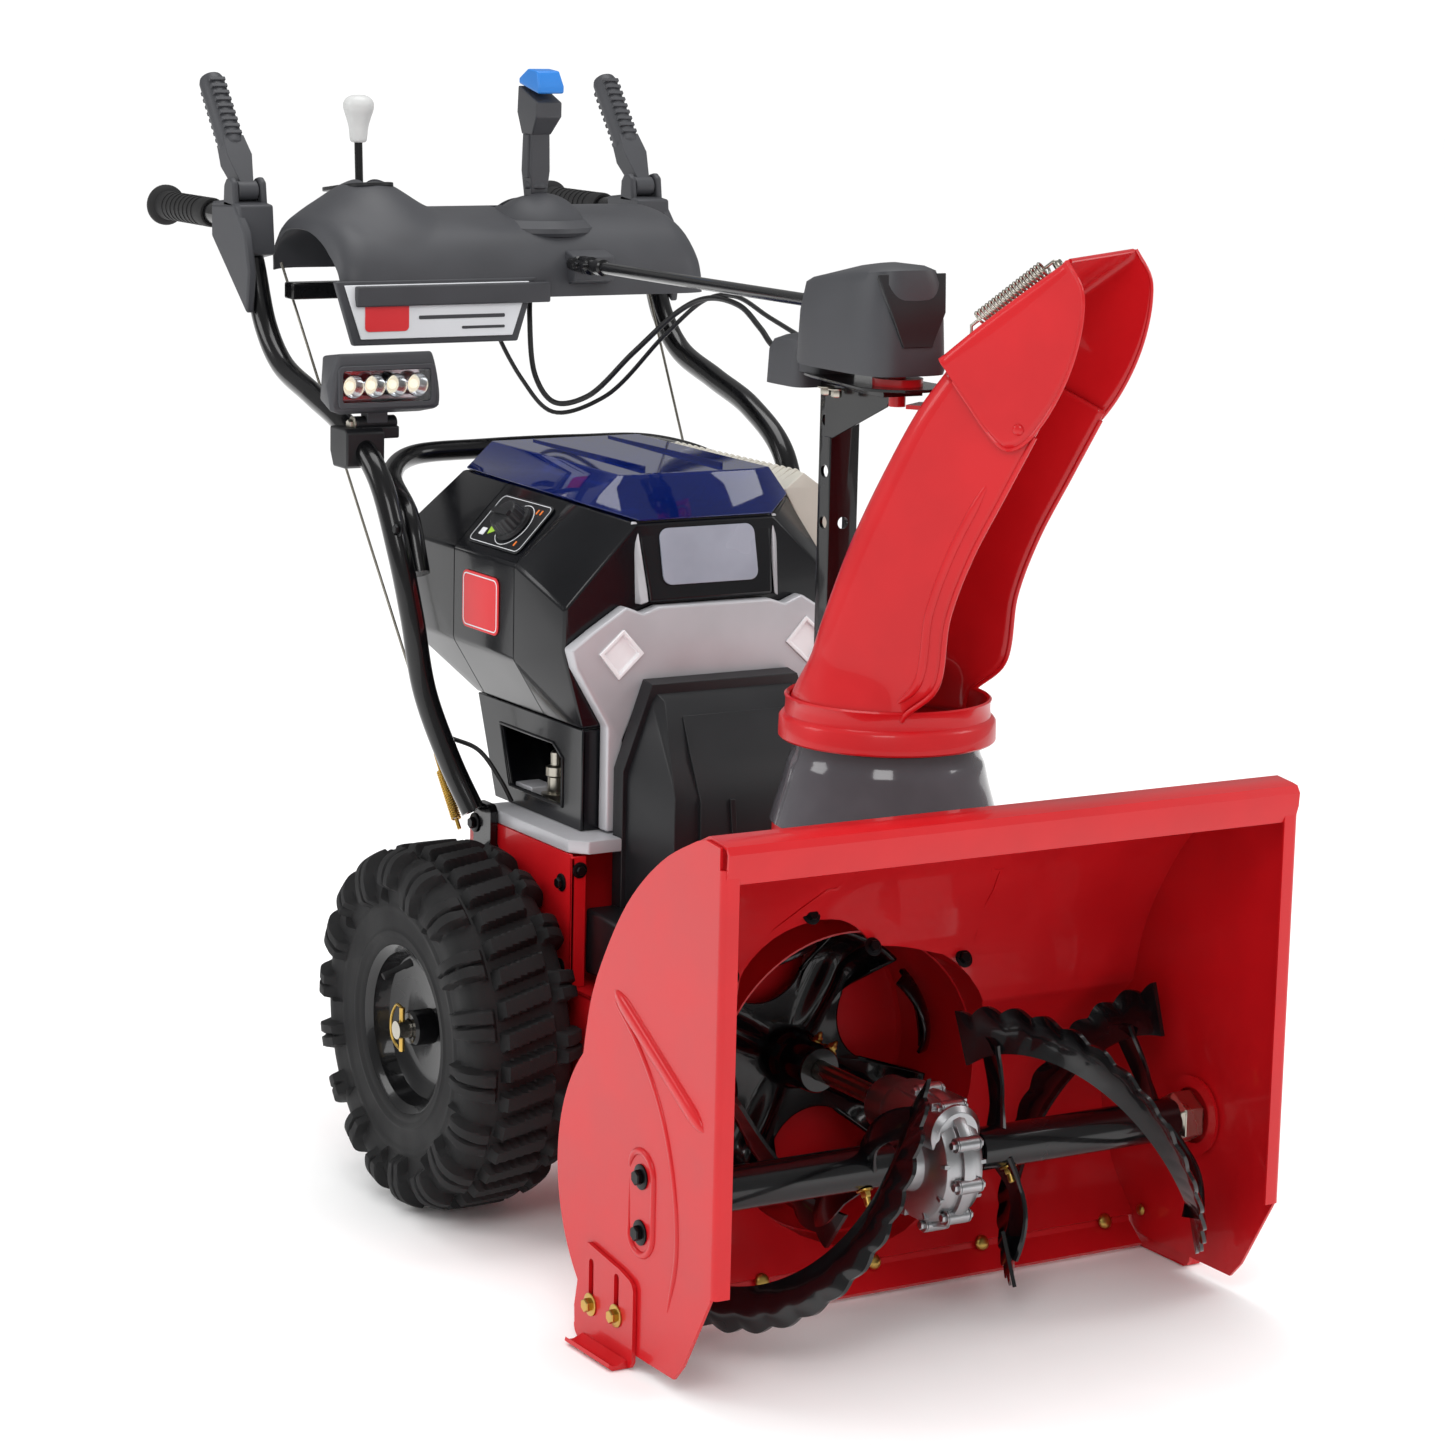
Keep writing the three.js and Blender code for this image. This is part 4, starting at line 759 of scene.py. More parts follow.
for end, reach in ((start, -way), (stop, way)):
    spring_parts.append(aimed(swept(np.array([end, end + reach * 10,
        end + reach * 16 - out_2 * 8 * np.sign(out_2[2])]), circle(1.6, 8), up=(1, 0, 0))))
spring_parts += [aimed(p) for p in hexagon((-66, -186, 1010), (0, 0.62, 0.78), 8, 8)]
piece("deflector_spring", "deflector", spring_parts, bright_zinc, crease=60)

# ---- Chute post and gear cover ------------------------------------------------------------------
# A folded black steel channel, punched with round holes and gusseted at its head, carries the chute's gear.
# Its cover is moulded in charcoal plastic with a sloping top and a smaller box behind it for the cable.
post = piece("post_channel", "machine", [
    prism([(-2, -303), (-2, -325), (30, -325), (30, -303), (26.5, -303), (26.5, -321.5), (1.5, -321.5),
    (1.5, -303)], 430, 878, "z"),
], black_enamel, ["chute_post"], bevel=0.6)
carved(post, [moved(prism(circle(6.5, 24), -60, 60, "x"), (0, -314, z)) for z in (742, 792, 842)]
       + [moved(prism(circle(6, 24), -340, -300, "y"), (14, 0, z)) for z in (742, 842)])
gusset = [prism([(-316, 878), (-316, 826), (-330, 826), (-424, 866), (-432, 878)], -4.5, -2.4),
          prism([(-2, -303), (30, -303), (30, -325), (22, -445), (-22, -445), (-22, -400), (-2, -325)], 878,
          884, "z")]
piece("post_gusset", "machine", gusset, black_enamel, bevel=0.6)
charcoal_moulding = finish_of("charcoal_polypropylene", "#3B3C40", {"Roughness": 0.5}, grain_mm=1.0, bump=0.22,
    mottle=0.08)


def facets(points):
    """The convex body round some points, with its flat faces merged."""
    worked = bmesh.new()
    for point in points:
        worked.verts.new(point)
    made = bmesh.ops.convex_hull(worked, input=worked.verts)
    bmesh.ops.delete(worked, geom=list({*made["geom_interior"], *made["geom_unused"]}), context="VERTS")
    bmesh.ops.dissolve_limit(worked, angle_limit=np.radians(1.0), verts=worked.verts, edges=worked.edges)
    worked.verts.index_update()
    corners = np.array([v.co for v in worked.verts])
    faces = [[v.index for v in f.verts] for f in worked.faces]
    worked.free()
    return corners, faces


def both(points):
    """Each point with both signs of x."""
    return [(sign * x, y, z) for x, y, z in points for sign in (-1, 1)]


def cover_levels(levels, steps=64):
    """A closed moulding through rounded outlines: each level is (z, half width, back y, front y, roundness,
    tilt of z per mm of y)."""
    a = np.linspace(0, 2 * np.pi, steps, endpoint=False)
    rows = []
    for z, half, y_back, y_front, power, tilt in levels:
        c, s = np.cos(a), np.sin(a)
        x = half * np.sign(c) * np.abs(c) ** power
        y = (y_back + y_front) / 2 + (y_back - y_front) / 2 * np.sign(s) * np.abs(s) ** power
        rows.append(np.column_stack([x, y, z + tilt * (y - y_front)]))
    return grid(np.stack(rows), wrap_columns=True, caps=True)


gear_top = cover_levels([(899, 46, -306, -466, 0.5, 0), (903, 47, -305, -467, 0.5, 0),
    (950, 45, -307, -465, 0.5, 0), (985, 41, -312, -462, 0.5, -0.06),
                         (997, 37, -320, -458, 0.52, -0.12), (1001, 30, -332, -448, 0.6, -0.15),
                         (1002, 10, -370, -420, 0.8, -0.15)])
small_box = cover_levels([(872, 27, -234, -301, 0.4, 0), (905, 26, -236, -301, 0.4, 0),
    (918, 23, -240, -301, 0.45, -0.06), (924, 15, -250, -300, 0.6, -0.1), (925, 5, -265, -290, 0.9, -0.1)])
bridge = cover_levels([(888, 24, -290, -330, 0.4, 0), (926, 22, -290, -330, 0.4, 0),
    (932, 12, -296, -326, 0.6, 0)])
piece("gear_cover_moulding", "machine", [gear_top, small_box, bridge], charcoal_moulding,
    ["gear_cover"], crease=40)
inset = [facets(both([(30, -464.4, 958), (30, -467.6, 958), (38, -452, 990), (38, -454, 994), (16, -466, 926),
    (16, -468.2, 926)]))]
piece("gear_cover_inset", "machine", inset, black_moulding, bevel=0.8)
plate_bolts = []
for x, y in ((-18, -338), (22, -346), (-20, -360), (10, -312)):
    plate_bolts += hexagon((x, y, 877.6), (0, 0, -1), 9, 7)
piece("gear_plate_bolts", "machine", plate_bolts, bright_zinc)
base_plate = prism(np.vstack([arc(0, -435, 44, 180, 360, 20), [(40, -312), (-24, -306), (-30, -330)]]), 885,
    888, "z")
piece("gear_base_plate", "machine", [base_plate], black_enamel, bevel=0.5)

# ---- Chute rod ----------------------------------------------------------------------------------
# A round steel rod with a universal joint at the dash end turns the chute's gear, dipped in gloss black.
rod_back, rod_front = np.array((52, 292, 944.0)), np.array((-5.5, -330, 954.6))
rod_way = (rod_front - rod_back) / np.linalg.norm(rod_front - rod_back)
rod_parts = [swept(np.linspace(rod_back, rod_front, 3), circle(6.4, 24))]
joint = [(-4, 0), (-4, 9), (10, 9), (12, 7), (20, 7), (22, 10), (44, 10), (46, 7), (60, 7), (62, 9), (76, 9),
    (78, 6), (78, 0)]
rod_parts.append(towards(turned(joint, (0, 0, 0), "z", 24), rod_way, rod_back))
for at in (26, 46):
    rod_parts.append(towards(turned([(-12, 0), (-12, 3), (12, 3), (12, 0)], (0, 0, 0), "z", 12),
        np.cross(rod_way, (0, 0, 1)), rod_back + rod_way * at))
piece("rod_with_joint", "rod", rod_parts, black_enamel, ["chute_rod"])
# ---- Chassis and deck ---------------------------------------------------------------------------
# A folded box of red 3 mm sheet between the wheels, bolted with black hexagon heads, under a silver deck plate.
def framed(outer, inner, low, high, along="x"):
    """A plate with a hole: two outlines with as many points each, carried from low to high."""
    loops = []
    for outline, s in ((outer, low), (outer, high), (inner, high), (inner, low)):
        u, v = np.array(outline, float).T
        s = np.full(len(u), float(s))
        loops.append(np.stack({"x": (s, u, v), "y": (u, s, v), "z": (u, v, s)}[along], -1))
    return grid(np.stack(loops), wrap_rows=True, wrap_columns=True)


def rounded(u, v, width, height, radius, steps=6):
    """The outline of a rectangle about (u, v) with round corners."""
    a, b = width / 2 - radius, height / 2 - radius
    return np.vstack([arc(u + p * a, v + q * b, radius, start, start + 90, steps)
                      for p, q, start in ((1, 1, 0), (-1, 1, 90), (-1, -1, 180), (1, -1, 270))])


def slab(centre, size, radius, thick, along="x"):
    """A thin plate with round corners, thick from centre's coordinate along the axis."""
    low = centre[0]
    return prism(rounded(centre[1], centre[2], size[0], size[1], radius), min(low, low + thick),
        max(low, low + thick), along)


tub = [block((-169, 169), (-80, -77), (83, 388)), block((-169, 169), (92, 95), (83, 388)),
    block((-169, 169), (-128, 95), (80, 83))]
walls, bolts, holes = [], [], []
for side in (-1, 1):
    wall = [(95, 80), (95, 384), (91, 388), (-124, 388), (-128, 384), (-128, 250), (-236, 250), (-240, 246),
        (-240, 84), (-236, 80)]
    walls.append(prism(wall, side * 169, side * 172))
    tub.append(block((min(side * 155, side * 172), max(side * 155, side * 172)), (-128, -125), (250, 386)))
    tub.append(block((min(side * 122, side * 172), max(side * 122, side * 172)), (-240, -78), (247, 250)))
    for y, z in ((38, 360), (-108, 356), (-108, 268), (72, 250)):
        bolts += hexagon((side * 172.2, y, z), (side, 0, 0), across=10, height=5)
    bolts += hexagon((side * 163, -128.4, 372), (0, -1, 0), across=9, height=4)
    holes.append(prism(stadium(-72, 294, 7, 15), side * 160, side * 180))
    bolts.append(turned([(side * 150, 0), (side * 150, 9), (side * 171, 9), (side * 172, 11), (side * 176, 11),
        (side * 178, 8), (side * 178, 0)], (0, -72, 294)))
    bolts.append(slab((side * 172, -115, 100), (16, 42), 4, side * 7))
piece("chassis_tub", "machine", tub, red_enamel, ["chassis_box"], bevel=0.8)
wall_piece = piece("chassis_walls", "machine", walls, red_enamel)
carved(wall_piece, [*holes, prism(circle(14) + (0, WHEEL_Z), -200, 200)])
piece("chassis_bolts", "machine", bolts, black_oxide)
back_panel = [prism(rounded(0, 236, 250, 214, 18), 95.2, 98.2, "y")]
piece("chassis_back_panel", "machine", back_panel, red_enamel, bevel=1.2, segments=3)
back_bolts = []
for x in (-150, 0, 150):
    for z in (104, 372):
        back_bolts += hexagon((x, 95.2, z), (0, 1, 0), across=10, height=5)
piece("chassis_back_bolts", "machine", back_bolts, black_oxide)
silver_paint = finish_of("silver_grey_paint", "#BCBCC0", {"Roughness": 0.36, "Metallic": 0.25}, grain_mm=1.2,
    bump=0.06, mottle=0.05)
deck_outline = [(-171, 70), (-171, -118), (-156, -135), (-118, -135), (-118, -113), (118, -113), (118, -135),
    (156, -135), (171, -118), (171, 70)]
deck = piece("deck_plate", "machine", [prism(deck_outline, 388.4, 402, "z")], silver_paint,
    ["motor_deck"], bevel=1.5)
carved(deck, [block((-50, 50), (-88, 50), (380, 410))])

# ---- Power head ---------------------------------------------------------------------------------
# A faceted hood in glossy black plastic, moulded in three panels with seams between them, on two open legs.
SEAM_DEPTH = 1.1
gloss_moulding = finish_of("gloss_black_abs", "#0B0C10",
    {"Roughness": 0.24, "Specular IOR Level": 0.35, "Coat Weight": 0.2, "Coat Roughness": 0.08}, grain_mm=1.2,
    bump=0.05, mottle=0.15)
HOOD = [(118, 225, 733), (118, -52, 728), (80, -88, 714), (180, 250, 668), (180, -14, 667), (165, -93, 632),
        (180, 250, 571), (180, -10, 570), (166, -93, 590), (142, 140, 508), (142, -92, 508), (142, -93, 520)]
hood_shell = piece("hood_shell", "machine", [facets(both(HOOD))], gloss_moulding,
    ["powerhead_shroud"], bevel=4.5, segments=4)


def along_edges(corners, step_mm=6.0):
    """Points every few millimetres along straight edges between corners, closed."""
    out = []
    for a, b in zip(corners, corners[1:] + corners[:1]):
        a, b = np.array(a, float), np.array(b, float)
        out.append(a + (b - a) * np.linspace(0, 1, max(int(np.linalg.norm(b - a) / step_mm), 2),
            endpoint=False)[:, None])
    return np.vstack(out)


cuts = [block((-106, 106), (-44, 206), (560, 800))]
for y, low, top in ((122, 508, 731), (-12, 508, 728.8)):
    half = [(118, y, top), (180, y, 667.4), (180, y, 570.8), (142, y, low)]
    loop = half + [(-x, b, c) for x, b, c in half[::-1]]
    cuts.append(swept(along_edges(loop), circle(SEAM_DEPTH, 6), up=(0, 1, 0), closed=True))
carved(hood_shell, cuts)
leg_parts = []
for side in (-1, 1):
    outer = [(-92, 402.6), (97, 402.6), (139, 507.2), (-40, 507.2), (-92, 507.2)]
    inner = [(-50, 422), (62, 422), (84, 482), (-30, 482), (-50, 470)]
    leg_parts.append(framed(outer, inner, side * 137.5, side * 142))
    rim = [(-53, 419), (64, 419), (88, 485), (-31, 485), (-53, 472)]
    leg_parts.append(framed(rim, inner, side * 141, side * 144))
leg_parts += [block((-141, 141), (-92, -88), (402.6, 507)),
              prism([(93, 402.6), (97, 402.6), (139, 507), (135, 507)], -141, 141)]
piece("legs", "machine", leg_parts, gloss_moulding, ["lower_shroud"], bevel=1.4)
stack = []
for x, y in ((-112, 18), (112, 18), (-96, -30), (96, -30)):
    stack.append(turned([(402, 0), (402, 17), (405, 17), (405, 12), (416, 12), (416, 15), (419, 15), (419, 9),
        (436, 9), (438, 11), (447, 11), (449, 6), (462, 6), (464, 4), (464, 0)], (x, y, 0), "z", 24))
piece("leg_bolt_stacks", "machine", stack, bright_zinc)
cleats = [prism([(-70, 402), (70, 402), (70, 406), (-20, 406), (-30, 420), (-62, 444), (-70, 444)],
    side * 84 - 3, side * 84 + 3) for side in (-1, 1)]
cleats += [block((side * 120 - 14, side * 120 + 14), (30, 66), (402.2, 424)) for side in (-1, 1)]
piece("leg_cleats", "machine", cleats, silver_paint, bevel=1.0)


ROOF_SLOPE, ROOF_MIDDLE = -45.9, (-149.4, 0, 699.3)
PRINT_LOW, PRINT_HIGH = 1.5, 2.0  # prints lie on the control panel between these heights


def on_roof(part):
    """A part laid out flat (x up the slope, z out of it), put on the hood's right slope."""
    return moved(moved(part, turn_about=(0, 1, 0), degrees=ROOF_SLOPE), ROOF_MIDDLE)


# Control panel: a sunk black plate with a printed frame, white keys and a ridged knob with a green pointer.
panel = [on_roof(prism(rounded(-1, 52, 64, 112, 8), 0.1, 1.6, "z"))]
piece("control_panel", "machine", panel, black_moulding, bevel=0.5)
print_pale = finish_of("pale_print", "#D9DBDE", {"Roughness": 0.5}, grain_mm=1.0, bump=0.01, mottle=0.02)
print_green = finish_of("green_print", "#9BC53D", {"Roughness": 0.5}, grain_mm=1.0, bump=0.01, mottle=0.02)
print_orange = finish_of("orange_print", "#E2762B", {"Roughness": 0.5}, grain_mm=1.0, bump=0.01, mottle=0.02)
lines = [on_roof(framed(rounded(-1, 52, 60, 108, 7), rounded(-1, 52, 58.6, 106.6, 6.4), 1.5, 1.9, "z"))]
lines += [on_roof(prism(rounded(u, v, 9, 10, 1), PRINT_LOW, PRINT_HIGH, "z")) for u, v in ((-18, 90), (6, 92))]
lines += [on_roof(turned([(1.5, 25.6), (1.5, 26.4), (1.9, 26.4), (1.9, 25.6)], (-1.6, 42, 0), "z", 40,
    closed=True))]
piece("panel_lines", "machine", lines, print_pale)
piece("panel_marks", "machine",
    [on_roof(prism(rounded(u, v, 6, 2.4, 0.6), PRINT_LOW, PRINT_HIGH, "z"))
    for u, v in ((20, 20), (20, 12), (-22, 14))], print_orange)
a = np.linspace(0, 2 * np.pi, 96, endpoint=False)[None, :]
levels = np.array([(2.2, 21), (3, 22), (7, 21.5), (8, 18.6), (19, 17.2), (21.5, 16.2), (22.4, 14.5)])
flute = 1 + 0.035 * np.cos(18 * a) * ((levels[:, :1] > 7.5) & (levels[:, :1] < 22))
knob = np.stack([levels[:, 1:] * flute * np.cos(a) - 1.6, levels[:, 1:] * flute * np.sin(a) + 42,
    levels[:, :1] + 0 * a], -1)
ridge_bar = facets([(-1.6 + p * 3.2, 42 + q * 16, z) for p in (-1, 1) for q in (-1, 1) for z in (20, 25.5)])
piece("ridged_knob", "knob", [on_roof(grid(knob, wrap_columns=True, caps=True)), on_roof(ridge_bar)],
    black_moulding, ["power_knob"], bevel=0.4)
piece("panel_pointer", "machine", [on_roof(prism([(-12, 64), (2, 72), (-8, 82), (-20, 78)], 1.5, 2.1, "z"))],
    print_green)

# A red plate without a word on the hood's side.
badge_red = finish_of("badge_red", "#D3232A", {"Roughness": 0.35}, grain_mm=1.0, bump=0.01, mottle=0.02)
piece("side_badge", "machine", [slab((-180.2, 60, 618), (80, 60), 9, -1.4)], badge_red, bevel=0.4)
piece("side_badge_rim", "machine",
    [framed(rounded(60, 618, 75, 55, 7), rounded(60, 618, 72.6, 52.6, 6), -181.5, -182.0)], print_pale)

# Front window: a smoked panel, lit grey from behind, between pale frames over a dark ledge.
piece("window_body", "machine",
    [facets(both([(79, -84, 722), (72, -104, 636), (79, -70, 722), (72, -80, 630)]))], gloss_moulding,
    bevel=2.5)
WINDOW_LEAN, WINDOW_HEIGHT = 20, 86
glow = finish_of("backlit_panel", "#9297A4", {"Roughness": 0.25, "Coat Weight": 0.5}, grain_mm=1.5, bump=0.01,
    mottle=0.1)
slope_front = np.degrees(np.arctan2(WINDOW_LEAN, WINDOW_HEIGHT))
windows = moved(moved(prism(rounded(0, 0, 112, 58, 10), -1.2, 1.2, "y"), turn_about=(1, 0, 0),
    degrees=-slope_front), (0, -95.4, 680))
piece("window_glow", "machine", [windows], glow, bevel=0.5)
frames = [facets([(side * x, y, z)
    for x, y, z in ((80, -86.4, 716), (86, -84, 716), (74, -104.6, 636), (81, -100, 633), (80, -76, 716),
    (88, -84, 633))]) for side in (-1, 1)]
piece("window_frames", "machine", frames, silver_paint, bevel=1.2)

# Fascia: one silver-grey moulding under the window, with a polished diamond at each shoulder.
half = [(0, 632), (66, 632), (84, 626), (104, 634), (140, 612), (167, 594), (161, 574), (124, 512), (124, 404),
    (106, 404), (106, 498), (84, 549), (0, 549)]
outline = half + [(-x, z) for x, z in half[::-1][1:-1]]
fascia = piece("fascia", "machine", [prism(outline, -112, -94, "y")], silver_paint,
    ["front_fascia"], bevel=3, segments=3)
diamonds, lozenges = [], []
for side in (-1, 1):
    corners = np.array([(108, 612), (136, 588), (113, 560), (84, 586)]) * (side, 1)
    middle = corners.mean(0)
    diamonds.append(prism(corners, -130, -106, "y"))
    inner = middle + (corners - middle) * 0.62
    rows = [middle + (corners - middle) * s for s in (0.99, 0.99, 0.80, 0.74)]
    lozenges.append(grid(np.stack([np.column_stack([r[:, 0], np.full(4, y), r[:, 1]])
        for r, y in zip(rows, (-106, -114.5, -114.5, -110.5))]), wrap_columns=True, caps=True))
carved(fascia, diamonds)
polished = finish_of("polished_silver", "#EDEDEF", {"Roughness": 0.2}, grain_mm=2, bump=0.01, mottle=0.04)
piece("fascia_diamonds", "machine", lozenges, polished, bevel=0.8)

# ---- Battery lid and pack -----------------------------------------------------------------------
# The lid is one clear moulding in deep blue, with flat facets and two ribs along its roof. The pack under it is
# charcoal plastic with finger grips.
clear_blue = finish_of("clear_blue_polycarbonate", "#16308C",
    {"Roughness": 0.05, "Transmission Weight": 0.7, "IOR": 1.45, "Coat Weight": 0.4, "Coat Roughness": 0.03},
    grain_mm=8, bump=0.01, mottle=0.08)
low_ring = [(-117, 218, 735), (-117, -53, 730), (-78, -88, 717), (78, -88, 717), (117, -53, 730),
    (117, 218, 735)]
top_ring = [(-89, 213, 763), (-89, -62, 760.5), (-71, -65, 759.5), (71, -65, 759.5), (89, -62, 760.5),
    (89, 213, 763)]
shell_of_lid = grid(np.array([low_ring, top_ring], float), wrap_columns=True)
shell_of_lid[1].append([6, 7, 8, 9, 10, 11])
piece("lid_shell", "lid", [shell_of_lid], clear_blue, ["battery_lid"], thick=2.6, bevel=2.0,
    segments=3)
lid_ribs = [prism([(x - 1.5, 760), (x + 1.5, 760), (x + 1.5, 766), (x - 1.5, 766)], -40, 200, "y")
    for x in (-46, 46)]
piece("lid_ribs", "lid", lid_ribs, clear_blue, bevel=0.6)
pack = [(92, -34, 560), (92, 190, 560), (96, -38, 600), (96, 194, 600), (96, -38, 712), (96, 194, 712),
    (84, -28, 728), (84, 184, 728)]
piece("pack_case", "machine", [facets(both(pack))], charcoal_moulding, ["battery_pack"],
    bevel=4, segments=3)
piece("pack_grips", "machine", [block((x - 3, x + 3), (-10, 160), (727, 733)) for x in range(-70, 71, 20)],
    black_moulding, bevel=1.2)

# ---- Ribbed cowl --------------------------------------------------------------------------------
# A cream-grey cowl on the left shoulder, moulded in matt plastic and crossed by ribs at an even pitch.
RIB_PITCH, RIB_WIDTH = 13, 5
cream_moulding = finish_of("cream_polypropylene", "#BDB9AE", {"Roughness": 0.55}, grain_mm=1.0, bump=0.15,
    mottle=0.06)
COWL = [(123, -46, 735), (123, 238, 735), (146, -40, 750), (146, 238, 750), (170, -42, 733), (170, 238, 733),
        (187, -36, 680), (187, 238, 680), (185, -32, 640), (185, 238, 640), (181.4, -32, 640),
        (181.4, 238, 640), (119.5, -46, 734), (119.5, 238, 734)]
piece("cowl_shell", "machine", [facets(COWL)], cream_moulding, ["side_cowl"], bevel=3,
    segments=3)
band = [(124, 736), (146, 752.6), (172, 735), (189.2, 681), (187.4, 648), (184, 648), (185, 680), (168, 731),
    (146, 747), (126, 733)]
piece("cowl_ribs", "machine", [prism(band, y, y + RIB_WIDTH, "y") for y in range(-26, 226, RIB_PITCH)], cream_moulding,
    bevel=1.2)

# ---- Belt cover ---------------------------------------------------------------------------------
# A ribbed black box over the drive belt, stepped back towards its top, with a creased bulge down its front.
cover = [facets(both([(114, -117, 256), (114, -117, 470), (103, -117, 486), (83, -117, 556), (108, -222, 256),
    (108, -222, 402), (103, -213, 456), (93, -184, 492), (78, -146, 541)])),
         facets(both([(118, -115, 256), (118, -115, 471), (106, -115, 489), (86, -115, 560), (118, -134, 256),
         (118, -134, 470), (106, -134, 488), (86, -134, 557)])),
         facets(both([(80, -227, 262), (80, -227, 396), (76, -218, 452), (72, -190, 492), (64, -158, 528),
         (80, -200, 262), (64, -150, 500)]))]
cover += [facets([(x + d, y, z) for d in (-3, 3)
    for y, z in ((-229.5, 268), (-229.5, 392), (-221, 452), (-224, 268), (-214, 452))]) for x in (-40, 34)]
piece("belt_box", "machine", cover, black_moulding, ["belt_cover"], bevel=5, segments=4)
side_box = [facets([(x, y, z) for x in (-150, -112)
    for y, z in ((-118, 262), (-196, 262), (-118, 330), (-186, 326))])]
piece("belt_side_box", "machine", side_box, black_moulding, bevel=4, segments=3)

# ---- Handlebars ---------------------------------------------------------------------------------
# Two bent steel tubes and a hoop, in gloss black, with moulded rubber grips.
TUBE_RADIUS, HOOP_RADIUS, GRIP_X, GRIP_Z = 12.5, 11, 250, 984
HANDLE = [(250, 712, 984), (250, 640, 984), (250, 575, 984), (250, 546, 982), (250, 508, 970), (250, 480, 943),
    (250, 444, 872), (250, 402, 834),
          (250, 320, 808), (250, 240, 784), (248, 165, 740), (242, 127, 665), (234, 112, 600), (224, 100, 520),
          (205, 75, 446), (191, 52, 400)]
LEVER_REST, LEVER_PIVOT = 51.3, (497, 1014)  # degrees from level, and (y, z)
soft_rubber = finish_of("grip_rubber", "#19191A", {"Roughness": 0.68}, grain_mm=1.2, bump=0.3, mottle=0.1)
for side, word in ((-1, "right"), (1, "left")):
    line = smooth_path([(side * x, y, z) for x, y, z in HANDLE], 190)
    flat = prism(rounded(51, 364, 38, 88, 8), side * 172.5, side * 181)
    piece("tube_" + word, "machine", [swept(line, circle(TUBE_RADIUS, 32), up=(1, 0, 0)), flat], black_enamel,
        ["handlebar_" + word])
    bands = [(y, 16.4 - 0.9 * ((n // 2) % 2))
        for n, y in enumerate(np.repeat(np.linspace(600, 700, 18), 2)[1:-1])]
    grip = [(585, 12.9), (585, 15.5), (588, 16.5), (598, 16.5), *bands, (713, 16.5), (715, 22), (717, 23),
        (721, 23), (723, 21), (723, 0)]
    piece("rubber_grip_" + word, "machine", [turned(grip, (side * GRIP_X, 0, GRIP_Z), "y", 40)], soft_rubber,
        ["grip_" + word], crease=50)
    bolts = hexagon((side * 263, 470, 926), (side, 0, 0), across=10, height=6) + hexagon((side * 246, 118, 690),
        (side, 0, 0), across=9, height=5)
    bolts += hexagon((side * 181.4, 36, 346), (side, 0, 0), across=11,
        height=5) + hexagon((side * 181.4, 66, 384), (side, 0, 0), across=11, height=5)
    piece("tube_bolts_" + word, "machine", bolts, black_oxide)
    # Lever bracket: a wrapped block with two ears and a wedge-shaped cheek outside the tube.
    block_corners = [(p * 20.5 + 250, y, z) for p in (-1, 1)
        for y, z in ((462, 946), (500, 939), (540, 962), (468, 1000), (542, 1000), (506, 1004))]
    bracket = [facets([(side * x, y, z) for x, y, z in block_corners])]
    bracket += [prism(np.array([(482, 996), (512, 996), (510, 1020), (504, 1027), (494, 1029), (486, 1024)]),
        min(side * p, side * q), max(side * p, side * q)) for p, q in ((263, 270.5), (229.5, 237))]
    cheek = [(side * x, y, z) for x in (262, 272)
        for y, z in ((452, 972), (440, 930), (446, 884), (462, 902), (498, 934), (540, 962), (540, 996),
        (480, 1000))]
    bracket.append(facets(cheek))
    piece("bracket_" + word, "machine", bracket, charcoal_moulding, ["lever_bracket_" + word],
        bevel=2.6, segments=3)
    # Hand lever: a hub and a flattened neck carry a round handle, crossed by ribs on the side the fingers pull.
    hub = turned([(-12, 0), (-12, 10), (-11, 11), (11, 11), (12, 10), (12, 0)], (0, 0, 0), "x", 32)
    neck = facets([(p * x, y, z) for p in (-1, 1)
        for x, y, z in ((7, 0, 9), (7, 0, -9), (15, 40, 12), (15, 40, -11), (12, 66, 12), (12, 66, -11))])
    handle = [(54, 0), (54, 10), (58, 14), (62, 14.5), (120, 14.2), (146, 14.2), (151, 12.5), (154, 8),
        (154, 0)]
    lever = [hub, neck, turned(handle, (0, 0, 0), "y", 36)]
    for n in range(9):
        lever.append(block((-9.5, 9.5), (66 + 9 * n, 70.5 + 9 * n), (-16, -8)))
        lever.append(block((-9.5, 9.5), (66 + 9 * n, 70.5 + 9 * n), (8, 16)))
    lever = [moved(moved(p, turn_about=(1, 0, 0), degrees=LEVER_REST), (side * GRIP_X, *LEVER_PIVOT))
        for p in lever]
    piece("lever_" + word, {-1: "auger_lever", 1: "traction_lever"}[side], lever, charcoal_moulding,
        ["hand_lever_" + word], bevel=1.3)
hoop = smooth_path([(-217, 128, 640), (-215, 158, 695), (-196, 238, 728), (-150, 285, 742), (-60, 293, 745),
                    (60, 293, 745), (150, 285, 742), (196, 238, 728), (215, 158, 695), (217, 128, 640)], 150)
piece("hoop", "machine", [swept(hoop, circle(HOOP_RADIUS, 28), up=(0, 1, 0.3))], black_enamel,
    ["handle_hoop"])
piece("crossbar", "machine", [block((-237, 237), (402, 424), (902, 920))], black_enamel,
    ["dash_crossbar"], bevel=2)

